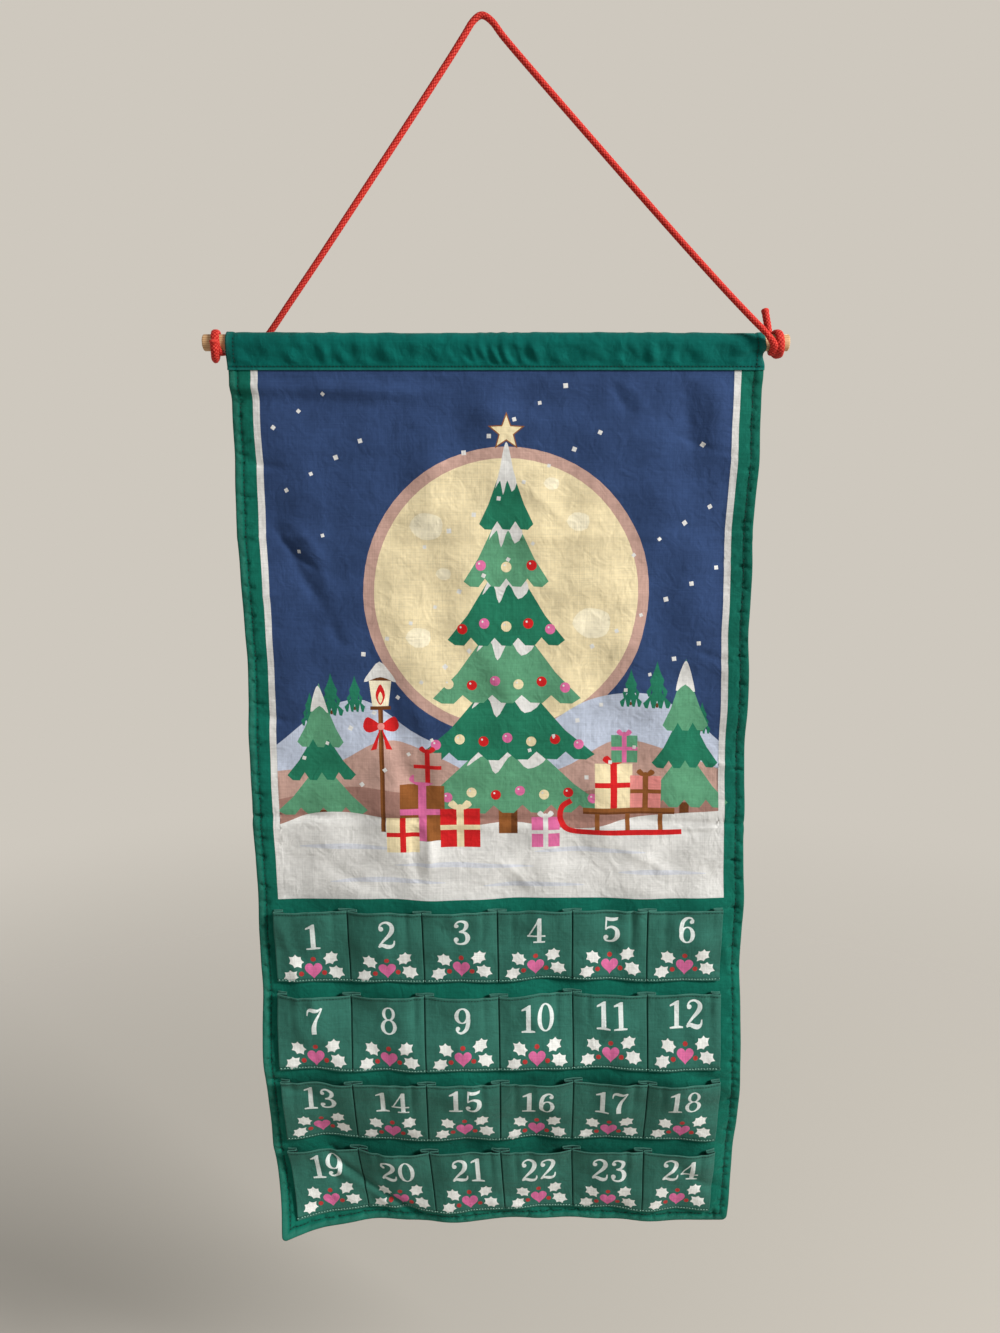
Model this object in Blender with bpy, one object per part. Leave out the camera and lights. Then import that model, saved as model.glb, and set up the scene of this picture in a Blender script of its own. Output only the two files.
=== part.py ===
# Fabric advent calendar: a cloth banner with twenty-four pockets, hung from a wooden dowel on a cord.
# Metres, +Z up, the viewer on the -Y side. The origin is the hang point, at the top of the cord.
import math

import bmesh
import bpy
import numpy as np
from mathutils import Vector

MM = 0.001

# Banner: a front panel and a backing panel of the same size
BANNER_WIDTH = 420 * MM
BANNER_LENGTH = 772 * MM
BANNER_SHIFT = 10.3 * MM
CLOTH = 0.8 * MM
LAYER_GAP = 0.3 * MM

# Dowel and the casing that it runs in
DOWEL_DIAMETER = 12.7 * MM
DOWEL_OVERHANG = 18.5 * MM
DOWEL_CHAMFER = 0.6 * MM
DOWEL_DROP = 234.6 * MM
SLEEVE_HEIGHT = 28.7 * MM
SLEEVE_EASE = 0.5 * MM
SEAM_LAP = 5 * MM
HEM_ROLL = 0.3 * MM

# Pocket rows, set out from the bottom hem upwards
POCKET_ROWS = 4
POCKETS_IN_ROW = 6
POCKETS_OF_STRIP = {"left": (0, 3), "right": (3, 6)}
POCKET_HEIGHT = 65 * MM
ROW_GAP = 9 * MM
HEM_MARGIN = 13 * MM
LEFT_MARGIN = 13.4 * MM
RIGHT_MARGIN = 18.4 * MM
PLEAT_DEPTH = 8 * MM
PLEAT_MOUTH = 1.3 * MM
PLEAT_EASE = 2.4 * MM
MOUTH_DEPTH = 11 * MM

# How the cloth hangs: old fold lines across it, soft waves down it and one curled corner
FOLD_PLACE_SHARES = (0.20, 0.50, 0.701, 0.795, 0.892)
FOLD_TURNS = (-0.5, -0.4, -14.0, 28.5, -11.5)
FOLD_ROUNDING = 9 * MM
WAVE_DEPTH = 3 * MM
WAVE_LENGTH = 210 * MM
WAVE_START = 40 * MM
CURL_DEPTH = 27 * MM
CURL_UP_SIDE = 100 * MM
CURL_ALONG_HEM = 125 * MM
NARROW_PLACE_SHARES = (0.04, 0.30, 0.60, 0.80, 0.90, 1.0)
NARROW_SHARES = (0.0, 0.019, 0.016, 0.028, 0.028, 0.057)
SIDE_SHIFTS = tuple(shift * MM for shift in (0, 0.3, 2.9, 5.6, 6.0, 10.8))

# Cord and the hitches that tie it to the dowel
CORD_DIAMETER = 4.8 * MM
CORD_SEAT = 0.3 * MM
CORD_FACE_GAP = 0.3 * MM
CORD_STEP = 9.6 * MM
WRAP_GAP = 0.57 * MM
CROSS_GAP = 0.7 * MM
HITCH_ROOM = 3.2 * MM
RIGHT_TAIL = 27.5 * MM
LEFT_TAIL = 5 * MM
LOOP_POINTS = 24
# For each hitch, in turns round the dowel: where its end climbs, where it crosses back, its last wrap
LEFT_WRAP_SHARES = ((0.86, 1.04), (0.90, 1.25), 1.05)
RIGHT_WRAP_SHARES = ((1.05, 1.30), (1.15, 1.50), 1.15)
CROSS_BACK_SHARE = 0.75

# The cord's route from the left hitch over the hang point to the right hitch, in millimetres
CORD_ROUTE = (
    (-203.2, 14.9, -241.3), (-199.8, 17.1, -241.4), (-194.0, 17.4, -241.1), (-186.5, 16.2, -238.8),
    (-178.5, 14.4, -233.6), (-169.5, 12.2, -225.6), (-152.0, 8.8, -203.5), (-125.0, 6.0, -168.0),
    (-90.0, 3.6, -120.5), (-55.0, 1.8, -72.5), (-26.0, 0.6, -32.0), (-14.0, 0.2, -14.6),
    (-6.8, 0.0, -4.2), (0.0, 0.0, 0.0), (7.6, 0.0, -4.4), (16.0, -0.2, -14.8),
    (34.0, -0.8, -34.6), (70.0, -2.2, -73.4), (110.0, -4.2, -116.4), (150.0, -6.6, -159.2),
    (185.0, -9.4, -196.0), (205.0, -11.4, -216.4), (215.2, -13.0, -226.6), (221.2, -14.1, -232.4),
)

# Derived places
DOWEL_RADIUS = DOWEL_DIAMETER / 2
CORD_RADIUS = CORD_DIAMETER / 2
SLEEVE_RADIUS = DOWEL_RADIUS + SLEEVE_EASE + CLOTH
SLEEVE_TOP = -DOWEL_DROP + SLEEVE_RADIUS
ROD_CENTRE = Vector((BANNER_SHIFT, 0, -DOWEL_DROP))
STACK_HALF = CLOTH + LAYER_GAP / 2
SEAT = STACK_HALF + LAYER_GAP + CLOTH / 2
STRIP_LEFT = LEFT_MARGIN - BANNER_WIDTH / 2
POCKET_PITCH = (BANNER_WIDTH - LEFT_MARGIN - RIGHT_MARGIN) / POCKETS_IN_ROW
WRAP_PITCH = CORD_DIAMETER + WRAP_GAP
WRAP_SPAN_SHARE = 0.6
HITCH_PLACE = BANNER_WIDTH / 2 + HITCH_ROOM + WRAP_SPAN_SHARE * WRAP_PITCH + CORD_RADIUS


def clear_scene():
    for obj in list(bpy.data.objects):
        bpy.data.objects.remove(obj, do_unlink=True)


def make_look(name, colour, roughness):
    look = bpy.data.materials.new(name)
    look.use_nodes = True
    shader = look.node_tree.nodes["Principled BSDF"]
    shader.inputs["Base Color"].default_value = (*colour, 1)
    shader.inputs["Roughness"].default_value = roughness
    shader.inputs["Metallic"].default_value = 0
    return look


def add_object(name, data, look):
    obj = bpy.data.objects.new(name, data)
    data.materials.append(look)
    bpy.context.scene.collection.objects.link(obj)
    return obj


def smooth_share(value, start, end):
    share = min(max((value - start) / (end - start), 0), 1)
    return share * share * (3 - 2 * share)


# The hanging cloth. u runs across the banner from its middle, s down it from the top of the sleeve.


def row_top(row):
    below = POCKET_ROWS - 1 - row
    return BANNER_LENGTH - HEM_MARGIN - POCKET_HEIGHT - below * (POCKET_HEIGHT + ROW_GAP)


def across_lines():
    inner = [STRIP_LEFT + k * POCKET_PITCH / 2 for k in range(2 * POCKETS_IN_ROW + 1)]
    return [-BANNER_WIDTH / 2, *inner, BANNER_WIDTH / 2]


def down_lines(hem):
    panel_top = SLEEVE_HEIGHT - SEAM_LAP
    picture = row_top(0) - SLEEVE_HEIGHT
    lines = [panel_top, SLEEVE_HEIGHT + LAYER_GAP]
    lines += [SLEEVE_HEIGHT + picture * k / 7 for k in range(1, 7)]
    for row in range(POCKET_ROWS):
        lines += [row_top(row) + POCKET_HEIGHT * k / 3 for k in range(4)]
    return [*lines, BANNER_LENGTH - hem]


def fold_lean(s):
    lean = 0
    for share, turn in zip(FOLD_PLACE_SHARES, FOLD_TURNS):
        past = (s - share * BANNER_LENGTH) / FOLD_ROUNDING
        lean += math.tan(math.radians(turn)) * FOLD_ROUNDING * np.logaddexp(0, past)
    return lean


def drape(u, s):
    grown = smooth_share(s, WAVE_START, BANNER_LENGTH)
    wave = WAVE_DEPTH * grown * math.sin(2 * math.pi * u / WAVE_LENGTH)
    from_side = (u + BANNER_WIDTH / 2) / CURL_ALONG_HEM
    from_hem = (BANNER_LENGTH - s) / CURL_UP_SIDE
    curl = CURL_DEPTH * max(0, 1 - from_side - from_hem) ** 2
    return fold_lean(s) + wave - curl


def drape_between(u, s):
    lines = across_lines()
    return np.interp(u, lines, [drape(line, s) for line in lines])


def cloth_point(u, s, proud):
    narrow = np.interp(s / BANNER_LENGTH, NARROW_PLACE_SHARES, NARROW_SHARES)
    shift = BANNER_SHIFT + np.interp(s / BANNER_LENGTH, NARROW_PLACE_SHARES, SIDE_SHIFTS)
    place = Vector((shift + u * (1 - narrow), drape_between(u, s) - proud, SLEEVE_TOP - s))
    return place - ROD_CENTRE


def make_cloth(name, columns, rows, place, look):
    # A sheet's middle surface, given by place(column, row), thickened both ways to the cloth
    mesh = bpy.data.meshes.new(name)
    bm = bmesh.new()
    bmesh.ops.create_grid(bm, x_segments=columns, y_segments=rows, size=0.5)
    for vert in bm.verts:
        vert.co = place(round((vert.co.x + 0.5) * columns), round((vert.co.y + 0.5) * rows))
    bm.to_mesh(mesh)
    bm.free()
    mesh.shade_smooth()
    obj = add_object(name, mesh, look)
    obj.location = ROD_CENTRE
    wall = obj.modifiers.new("Cloth thickness", "SOLIDIFY")
    wall.thickness = CLOTH
    wall.offset = 0
    wall.use_even_offset = True
    return obj


def make_panel(name, proud, hem, look):
    across, down = across_lines(), down_lines(hem)

    def place(i, j):
        return cloth_point(across[i], down[j], proud)

    return make_cloth(name, len(across) - 1, len(down) - 1, place, look)


# The pocket strips: each row is two pleated lengths of cloth that meet at its middle divider


def half_pocket():
    # (distance from the divider, layers under it at the seam, share of the mouth's depth)
    fold = PLEAT_MOUTH / 2
    return (
        (0, 0, 0.0),
        (PLEAT_DEPTH, 0, 0.09),
        (PLEAT_DEPTH, 1, 0.31),
        (fold, 1, 0.38),
        (fold, 2, 0.58),
        (PLEAT_DEPTH + PLEAT_EASE, 2, 0.78),
        (POCKET_PITCH / 2, 0, 1.0),
    )


def strip_profile(first, last):
    points = []
    for pocket in range(first, last):
        start = STRIP_LEFT + pocket * POCKET_PITCH
        half = half_pocket()
        points += [(start + away, layers, share) for away, layers, share in half]
        points += [
            (start + POCKET_PITCH - away, layers, share) for away, layers, share in half[-2:0:-1]
        ]
    points.append((STRIP_LEFT + last * POCKET_PITCH, 0, 0.0))
    if first > 0:
        points[0] = (points[0][0] + LAYER_GAP / 2, 0, 0.0)
    if last < POCKETS_IN_ROW:
        points[-1] = (points[-1][0] - LAYER_GAP / 2, 0, 0.0)
    return points


def make_strip(row, side, look):
    profile = strip_profile(*POCKETS_OF_STRIP[side])
    steps = 3

    def place(i, j):
        u, layers, share = profile[i]
        height = 1 - j / steps
        seam = layers * (CLOTH + LAYER_GAP)
        proud = SEAT + seam * (1 - height) + MOUTH_DEPTH * share * height
        return cloth_point(u, row_top(row) + POCKET_HEIGHT * j / steps, proud)

    return make_cloth(f"pocket_strip_{row + 1}_{side}", len(profile) - 1, steps, place, look)


def sleeve_profile():
    # Middle line of the casing in (y, z) from the dowel's axis, up the back and down the front
    radius = SLEEVE_RADIUS - CLOTH / 2
    lip = SEAT
    low = SLEEVE_RADIUS - SLEEVE_HEIGHT
    lip_top = low + SEAM_LAP + CLOTH
    reach = math.hypot(lip, lip_top)
    start = math.atan2(lip_top, lip) + math.acos(radius / reach)
    steps = 10
    angles = [start + (math.pi - 2 * start) * k / steps for k in range(steps + 1)]
    arc = [(radius * math.cos(angle), radius * math.sin(angle)) for angle in angles]
    return [(lip, low), (lip, lip_top), *arc, (-lip, lip_top), (-lip, low)]


def make_sleeve(look):
    profile = sleeve_profile()
    columns = 4

    def place(i, j):
        y, z = profile[i]
        return Vector((BANNER_WIDTH * (j / columns - 0.5), y, z))

    return make_cloth("rod_sleeve", len(profile) - 1, columns, place, look)


def make_dowel(look):
    mesh = bpy.data.meshes.new("dowel")
    bm = bmesh.new()
    bmesh.ops.create_cone(
        bm,
        cap_ends=True,
        segments=32,
        radius1=DOWEL_RADIUS,
        radius2=DOWEL_RADIUS,
        depth=BANNER_WIDTH + 2 * DOWEL_OVERHANG,
    )
    bm.to_mesh(mesh)
    bm.free()
    mesh.shade_smooth()
    mesh.set_sharp_from_angle(angle=math.radians(40))
    obj = add_object("dowel", mesh, look)
    obj.location = ROD_CENTRE
    obj.rotation_euler = (0, math.radians(90), 0)
    edge = obj.modifiers.new("Broken end edges", "BEVEL")
    edge.width = DOWEL_CHAMFER
    edge.segments = 1
    edge.limit_method = "ANGLE"
    return obj


# The cord and its two hitches


def hitch_line(side, start, way, turns, tail, wrap_shares):
    # A wrap beside a wrap, whose end climbs over them: a straight lead-in, the loops and the tail
    inner = DOWEL_RADIUS + CORD_SEAT + CORD_RADIUS
    climb = CORD_DIAMETER + CROSS_GAP
    climb_turns, back_turns, last_wrap = wrap_shares
    points = []
    for k in range(round(turns * LOOP_POINTS) + 1):
        turn = k / LOOP_POINTS
        back = CROSS_BACK_SHARE * smooth_share(turn, *back_turns)
        along = (min(turn, last_wrap) - WRAP_SPAN_SHARE - back) * WRAP_PITCH
        radius = inner + climb * smooth_share(turn, *climb_turns)
        angle = start + way * 2 * math.pi * turn
        offset = Vector((side * along, radius * math.cos(angle), radius * math.sin(angle)))
        points.append(ROD_CENTRE + Vector((side * HITCH_PLACE, 0, 0)) + offset)
    lead = (points[0] - points[1]).normalized()
    away = (points[-1] - points[-2]).normalized()
    points.insert(0, points[0] + lead * CORD_DIAMETER)
    end = points[-1]
    points += [end + away * tail * k / 4 for k in range(1, 5)]
    return points


def least_self_gap(points):
    # Between stretches of the line that lie more than two diameters apart along it
    line = np.array([tuple(point) for point in points])
    along = np.concatenate([[0], np.cumsum(np.linalg.norm(np.diff(line, axis=0), axis=1))])
    at = np.arange(0, along[-1], CORD_DIAMETER / 8)
    fine = np.stack([np.interp(at, along, line[:, axis]) for axis in range(3)], axis=1)
    apart = np.linalg.norm(fine[:, None] - fine[None], axis=2)
    far = np.abs(at[:, None] - at[None]) > 2.2 * CORD_DIAMETER
    return apart[far].min() - CORD_DIAMETER


def make_tube(name, points, sides_resolution, look):
    curve = bpy.data.curves.new(name, "CURVE")
    curve.dimensions = "3D"
    curve.bevel_depth = CORD_RADIUS
    curve.bevel_resolution = sides_resolution
    curve.use_fill_caps = True
    spline = curve.splines.new("POLY")
    spline.points.add(len(points) - 1)
    for point, place in zip(spline.points, points):
        point.co = (*place, 1)
    return add_object(name, curve, look)


def smooth_route(points):
    # Points every two diameters on a smooth curve through the route's own points
    line = [2 * points[0] - points[1], *points, 2 * points[-1] - points[-2]]
    fine = []
    for a, b, c, d in zip(line, line[1:], line[2:], line[3:]):
        for k in range(12):
            t = k / 12
            fine.append(
                0.5 * (2 * b + (c - a) * t + (2 * a - 5 * b + 4 * c - d) * t**2
                       + (3 * b - a - 3 * c + d) * t**3)
            )
    fine.append(points[-1])
    line = np.array([tuple(point) for point in fine])
    along = np.concatenate([[0], np.cumsum(np.linalg.norm(np.diff(line, axis=0), axis=1))])
    at = np.linspace(0, along[-1], round(along[-1] / CORD_STEP) + 1)
    return [Vector([np.interp(value, along, line[:, axis]) for axis in range(3)]) for value in at]


def make_cord(left_line, right_line, look):
    starts = []
    for line in (left_line, right_line):
        out = (line[0] - line[1]).normalized()
        starts.append((line[0] + out * CORD_FACE_GAP, out))
    (left_end, left_out), (right_end, right_out) = starts
    route = [Vector(point) * MM for point in CORD_ROUTE]
    from_left = left_end + left_out * CORD_DIAMETER
    to_right = right_end + right_out * CORD_DIAMETER
    points = [left_end, *smooth_route([from_left, *route, to_right]), right_end]
    make_tube("hanging_cord", points, 2, look)
    length = sum((b - a).length for a, b in zip(points, points[1:]))
    print(f"hanging cord: {length / MM:.0f} mm free, {len(points)} points")


def main():
    clear_scene()
    cord_look = make_look("Red cord", (0.55, 0.03, 0.025), 0.6)
    wood_look = make_look("Pale wood", (0.58, 0.35, 0.17), 0.55)
    green_look = make_look("Green cotton", (0.01, 0.13, 0.09), 0.85)
    border_look = make_look("Printed cotton", (0.03, 0.16, 0.11), 0.85)
    backing_look = make_look("Backing cotton", (0.02, 0.14, 0.1), 0.85)
    pocket_look = make_look("Pocket cotton", (0.05, 0.19, 0.13), 0.85)

    left = hitch_line(-1, math.radians(-75), -1, 1.25, LEFT_TAIL, LEFT_WRAP_SHARES)
    right = hitch_line(1, math.radians(225), 1, 1.375, RIGHT_TAIL, RIGHT_WRAP_SHARES)
    for name, line in (("left_hitch", left), ("right_hitch", right)):
        make_tube(name, line, 1, cord_look)
        print(f"{name}: least gap between its loops {least_self_gap(line) / MM:.2f} mm")
    make_cord(left, right, cord_look)

    make_dowel(wood_look)
    make_sleeve(green_look)
    middle = STACK_HALF - CLOTH / 2
    make_panel("front_panel", middle, HEM_ROLL, border_look)
    make_panel("backing_panel", -middle, 0, backing_look)
    for row in range(POCKET_ROWS):
        for side in POCKETS_OF_STRIP:
            make_strip(row, side, pocket_look)


main()
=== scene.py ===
import math

import bmesh
import bpy
import numpy as np
from mathutils import Matrix, Vector
from mathutils.geometry import delaunay_2d_cdt


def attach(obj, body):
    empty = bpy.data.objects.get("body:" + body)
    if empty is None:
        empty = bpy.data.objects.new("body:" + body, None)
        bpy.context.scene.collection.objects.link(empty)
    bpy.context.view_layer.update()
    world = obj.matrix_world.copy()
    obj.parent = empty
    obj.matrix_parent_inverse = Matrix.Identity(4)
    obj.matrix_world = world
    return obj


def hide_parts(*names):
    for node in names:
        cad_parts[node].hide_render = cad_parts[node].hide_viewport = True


# Fabric advent calendar: cloth banner with pockets, dowel and hanging cord.
# Shapes are worked out in millimetres and written into the meshes in metres.
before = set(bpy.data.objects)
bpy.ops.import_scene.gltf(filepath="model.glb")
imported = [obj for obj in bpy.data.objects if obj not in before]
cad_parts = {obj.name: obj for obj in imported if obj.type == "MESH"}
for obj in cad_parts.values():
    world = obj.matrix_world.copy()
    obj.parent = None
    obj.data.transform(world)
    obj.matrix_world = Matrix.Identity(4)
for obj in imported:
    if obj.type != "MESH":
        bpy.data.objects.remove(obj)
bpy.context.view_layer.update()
mm = 0.001
print("packed frame loaded")


# camera, at the photograph's place

cameraPlace = {
    "location": (0.0134, -0.812, -0.3595),
    "tilt": 80.8,  # degrees from straight down
    "lens": 27.0,
    "sensor": 36.0,
}


def makeCamera():
    data = bpy.data.cameras.new("photoCamera")
    data.lens = cameraPlace["lens"]
    data.sensor_width = cameraPlace["sensor"]
    camera = bpy.data.objects.new("photoCamera", data)
    bpy.context.scene.collection.objects.link(camera)
    camera.location = cameraPlace["location"]
    camera.rotation_euler = (math.radians(cameraPlace["tilt"]), 0, 0)
    bpy.context.scene.camera = camera


makeCamera()
print("camera set")


# small helpers

def ease(value, start, end):
    share = np.clip((np.asarray(value, float) - start) / (end - start), 0, 1)
    return share * share * (3 - 2 * share)


def hump(value, middle, width):
    return np.exp(-(((np.asarray(value, float) - middle) / width) ** 2))


def linear(colour):
    # 0 to 255 as seen on screen, to the linear values that Blender uses
    share = np.asarray(colour, float) / 255
    return np.where(share <= 0.04045, share / 12.92, ((share + 0.055) / 1.055) ** 2.4)


def ripples(a, b, waves):
    # a sum of plain waves: (length along a, length along b, height, phase) each
    total = np.zeros(np.broadcast(a, b).shape)
    for lengthA, lengthB, height, phase in waves:
        total = total + height * np.sin(2 * np.pi * (a / lengthA + b / lengthB) + phase)
    return total


def readPoints(mesh):
    points = np.empty(len(mesh.vertices) * 3)
    mesh.vertices.foreach_get("co", points)
    return points.reshape(-1, 3)


def writePoints(mesh, points):
    mesh.vertices.foreach_set("co", np.asarray(points, np.float32).ravel())
    mesh.update()


def writeAttribute(mesh, name, values):
    # one number for each vertex, read by the material
    attribute = mesh.attributes.new(name, "FLOAT", "POINT")
    attribute.data.foreach_set("value", np.asarray(values, np.float32))


def writeFlatUv(mesh, flat):
    # the cloth's flat place in metres, so that the weave follows the threads
    corners = np.empty(len(mesh.loops), np.int32)
    mesh.loops.foreach_get("vertex_index", corners)
    layer = mesh.uv_layers.new(name="flatCloth")
    layer.data.foreach_set("uv", (np.asarray(flat)[corners] * mm).astype(np.float32).ravel())


def between(a, b, c, d, t):
    # a place on the smooth curve from b to c that comes from a and goes on to d
    return 0.5 * (2 * b + (c - a) * t + (2 * a - 5 * b + 4 * c - d) * t**2
                  + (3 * b - a - 3 * c + d) * t**3)


def strokeLine(points, steps):
    # a smooth curve through the points, with so many steps from each to the next
    points = np.asarray(points, float)
    line = np.vstack([2 * points[0] - points[1], points, 2 * points[-1] - points[-2]])
    fine = [between(a, b, c, d, t) for a, b, c, d in zip(line, line[1:], line[2:], line[3:])
            for t in np.linspace(0, 1, steps, endpoint=False)]
    return np.array([*fine, points[-1]])


def roundCorners(line, share, times):
    # cuts off each corner at this share of its sides, a few times over, and keeps both ends
    for _ in range(times):
        inner = np.vstack([line[:-1] * (1 - share) + line[1:] * share,
                           line[:-1] * share + line[1:] * (1 - share)])
        order = np.arange(len(line) - 1)
        inner = inner[np.stack([order, order + len(order)], axis=1).ravel()]
        line = np.vstack([line[:1], inner, line[-1:]])
    return line


def evenSteps(line, step):
    along = np.concatenate([[0], np.cumsum(np.linalg.norm(np.diff(line, axis=0), axis=1))])
    at = np.linspace(0, along[-1], max(2, round(along[-1] / step) + 1))
    return np.stack([np.interp(at, along, line[:, k]) for k in range(line.shape[1])], axis=1)


def addPiece(name, mesh, body, look, smooth=True):
    if smooth:
        mesh.shade_smooth()
    piece = bpy.data.objects.new(name, mesh)
    bpy.context.scene.collection.objects.link(piece)
    if look:
        mesh.materials.append(look)
    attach(piece, body)
    return piece


def meshOf(name, bm):
    mesh = bpy.data.meshes.new(name)
    bm.to_mesh(mesh)
    bm.free()
    return mesh


def gridMesh(name, columns, rows):
    # a flat grid whose x and y run from 0 to 1, to be shaped by its points
    bm = bmesh.new()
    bmesh.ops.create_grid(bm, x_segments=columns, y_segments=rows, size=0.5)
    bmesh.ops.translate(bm, verts=bm.verts, vec=(0.5, 0.5, 0))
    return meshOf(name, bm)


# the cord: one braided length from hitch to hitch

cordSize = {
    "diameter": 4.8,
    "seat": 0.3,  # between the dowel and the first wrap
    "wrapGap": 0.57,
    "crossGap": 0.7,
    "hitchRoom": 3.2,
    "leftTail": 5.0,
    "rightTail": 27.5,
    "wrapSpan": 0.6,
    "strands": 6,  # each way round the braid
    "strandRise": 2.9,  # mm along the cord from one strand to the next
    "flattened": 0.68,
    "widened": 1.28,
    "puffed": 0.18,
    "relief": 0.34,
    "around": 36,
    "step": 0.46,
    "curveSteps": 16,
}
bannerWidth = 420.0
bannerHalf = bannerWidth / 2
bannerLength = 772.0
bannerShift = 10.3
dowelRadius = 6.35
rodCentre = np.array([bannerShift, 0.0, -234.6])
sleeveRadius = dowelRadius + 0.5 + 0.8
sleeveTop = rodCentre[2] + sleeveRadius

cordRoute = (
    (-203.2, 14.9, -241.3), (-199.8, 17.1, -241.4), (-194.0, 17.4, -241.1),
    (-186.5, 16.2, -238.8), (-178.5, 14.4, -233.6), (-169.5, 12.2, -225.6),
    (-152.0, 8.8, -203.5), (-125.0, 6.0, -168.0), (-90.0, 3.6, -120.5),
    (-55.0, 1.8, -72.5), (-26.0, 0.6, -32.0), (-14.0, 0.2, -14.6),
    (-6.8, 0.0, -4.2), (0.0, 0.0, 0.0), (7.6, 0.0, -4.4), (16.0, -0.2, -14.8),
    (34.0, -0.8, -34.6), (70.0, -2.2, -73.4), (110.0, -4.2, -116.4),
    (150.0, -6.6, -159.2), (185.0, -9.4, -196.0), (205.0, -11.4, -216.4),
    (215.2, -13.0, -226.6), (221.2, -14.1, -232.4),
)


def hitchLine(side, startDegrees, way, turns, tail, climbTurns, backTurns, lastWrap):
    # from the end that meets the hanging cord, round the dowel, to the cut end
    size = cordSize
    pitch = size["diameter"] + size["wrapGap"]
    place = bannerHalf + size["hitchRoom"] + size["wrapSpan"] * pitch + size["diameter"] / 2
    inner = dowelRadius + size["seat"] + size["diameter"] / 2
    turn = np.linspace(0, turns, round(turns * 24) + 1)
    back = 0.75 * ease(turn, *backTurns)
    along = (np.minimum(turn, lastWrap) - size["wrapSpan"] - back) * pitch
    radius = inner + (size["diameter"] + size["crossGap"]) * ease(turn, *climbTurns)
    angle = math.radians(startDegrees) + way * 2 * np.pi * turn
    line = np.stack([side * (place + along), radius * np.cos(angle), radius * np.sin(angle)], axis=1)
    line = line + rodCentre
    lead = (line[0] - line[1]) / np.linalg.norm(line[0] - line[1])
    away = (line[-1] - line[-2]) / np.linalg.norm(line[-1] - line[-2])
    tails = [line[-1] + away * tail * k / 4 for k in range(1, 5)]
    return np.vstack([line[0] + lead * size["diameter"], line, tails])


def cordLine():
    left = hitchLine(-1, -75, -1, 1.25, cordSize["leftTail"], (0.86, 1.04), (0.90, 1.25), 1.05)
    right = hitchLine(1, 225, 1, 1.375, cordSize["rightTail"] + 2.5, (1.05, 1.30), (1.15, 1.50), 1.15)
    return np.vstack([left[::-1], cordRoute, right])


def tiedShare(points):
    # 1 where the cord is wound round the dowel, 0 where it hangs free
    away = points - rodCentre
    reach = np.hypot(away[:, 1], away[:, 2]) - dowelRadius
    tied = ease(np.abs(away[:, 0]), bannerHalf - 4, bannerHalf + 2)
    return tied * ease(-reach, -2.7 * cordSize["diameter"], -1.7 * cordSize["diameter"])


def pressed(points):
    # the braid is drawn flat against the dowel where it is wound round it
    away = points - rodCentre
    reach = np.maximum(np.hypot(away[:, 1], away[:, 2]), 1e-6)
    over = np.maximum(reach - dowelRadius - cordSize["seat"], 0)
    pull = over * (1 - cordSize["flattened"]) * tiedShare(points)
    points = points.copy()
    points[:, 1:] -= away[:, 1:] * (pull / reach)[:, None]
    return points


def frameAlong(line):
    # a frame that follows the line without twisting
    tangents = np.gradient(line, axis=0)
    tangents /= np.linalg.norm(tangents, axis=1)[:, None]
    sides = np.empty_like(line)
    side = np.cross(tangents[0], (0, 0, 1.0))
    for k, tangent in enumerate(tangents):
        side = side - tangent * (side @ tangent)
        side = side / np.linalg.norm(side)
        sides[k] = side
    return sides, np.cross(tangents, sides)


def strandPattern(turn, along):
    # which strand lies on top, how high it is there (0 to 1), and which one it is
    size = cordSize
    first = size["strands"] * turn + along / size["strandRise"]
    second = size["strands"] * turn - along / size["strandRise"]
    over = (np.floor(first) + np.floor(second)) % 2 < 0.5
    across = np.where(over, first, second) % 1
    lengthways = np.where(over, second, first) % 1
    height = np.sqrt(np.clip(np.sin(np.pi * across), 0, 1)) * (0.55 + 0.45 * np.sin(np.pi * lengthways))
    strand = np.where(over, np.floor(first) % size["strands"], 7 + np.floor(second) % size["strands"])
    return height, strand


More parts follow.
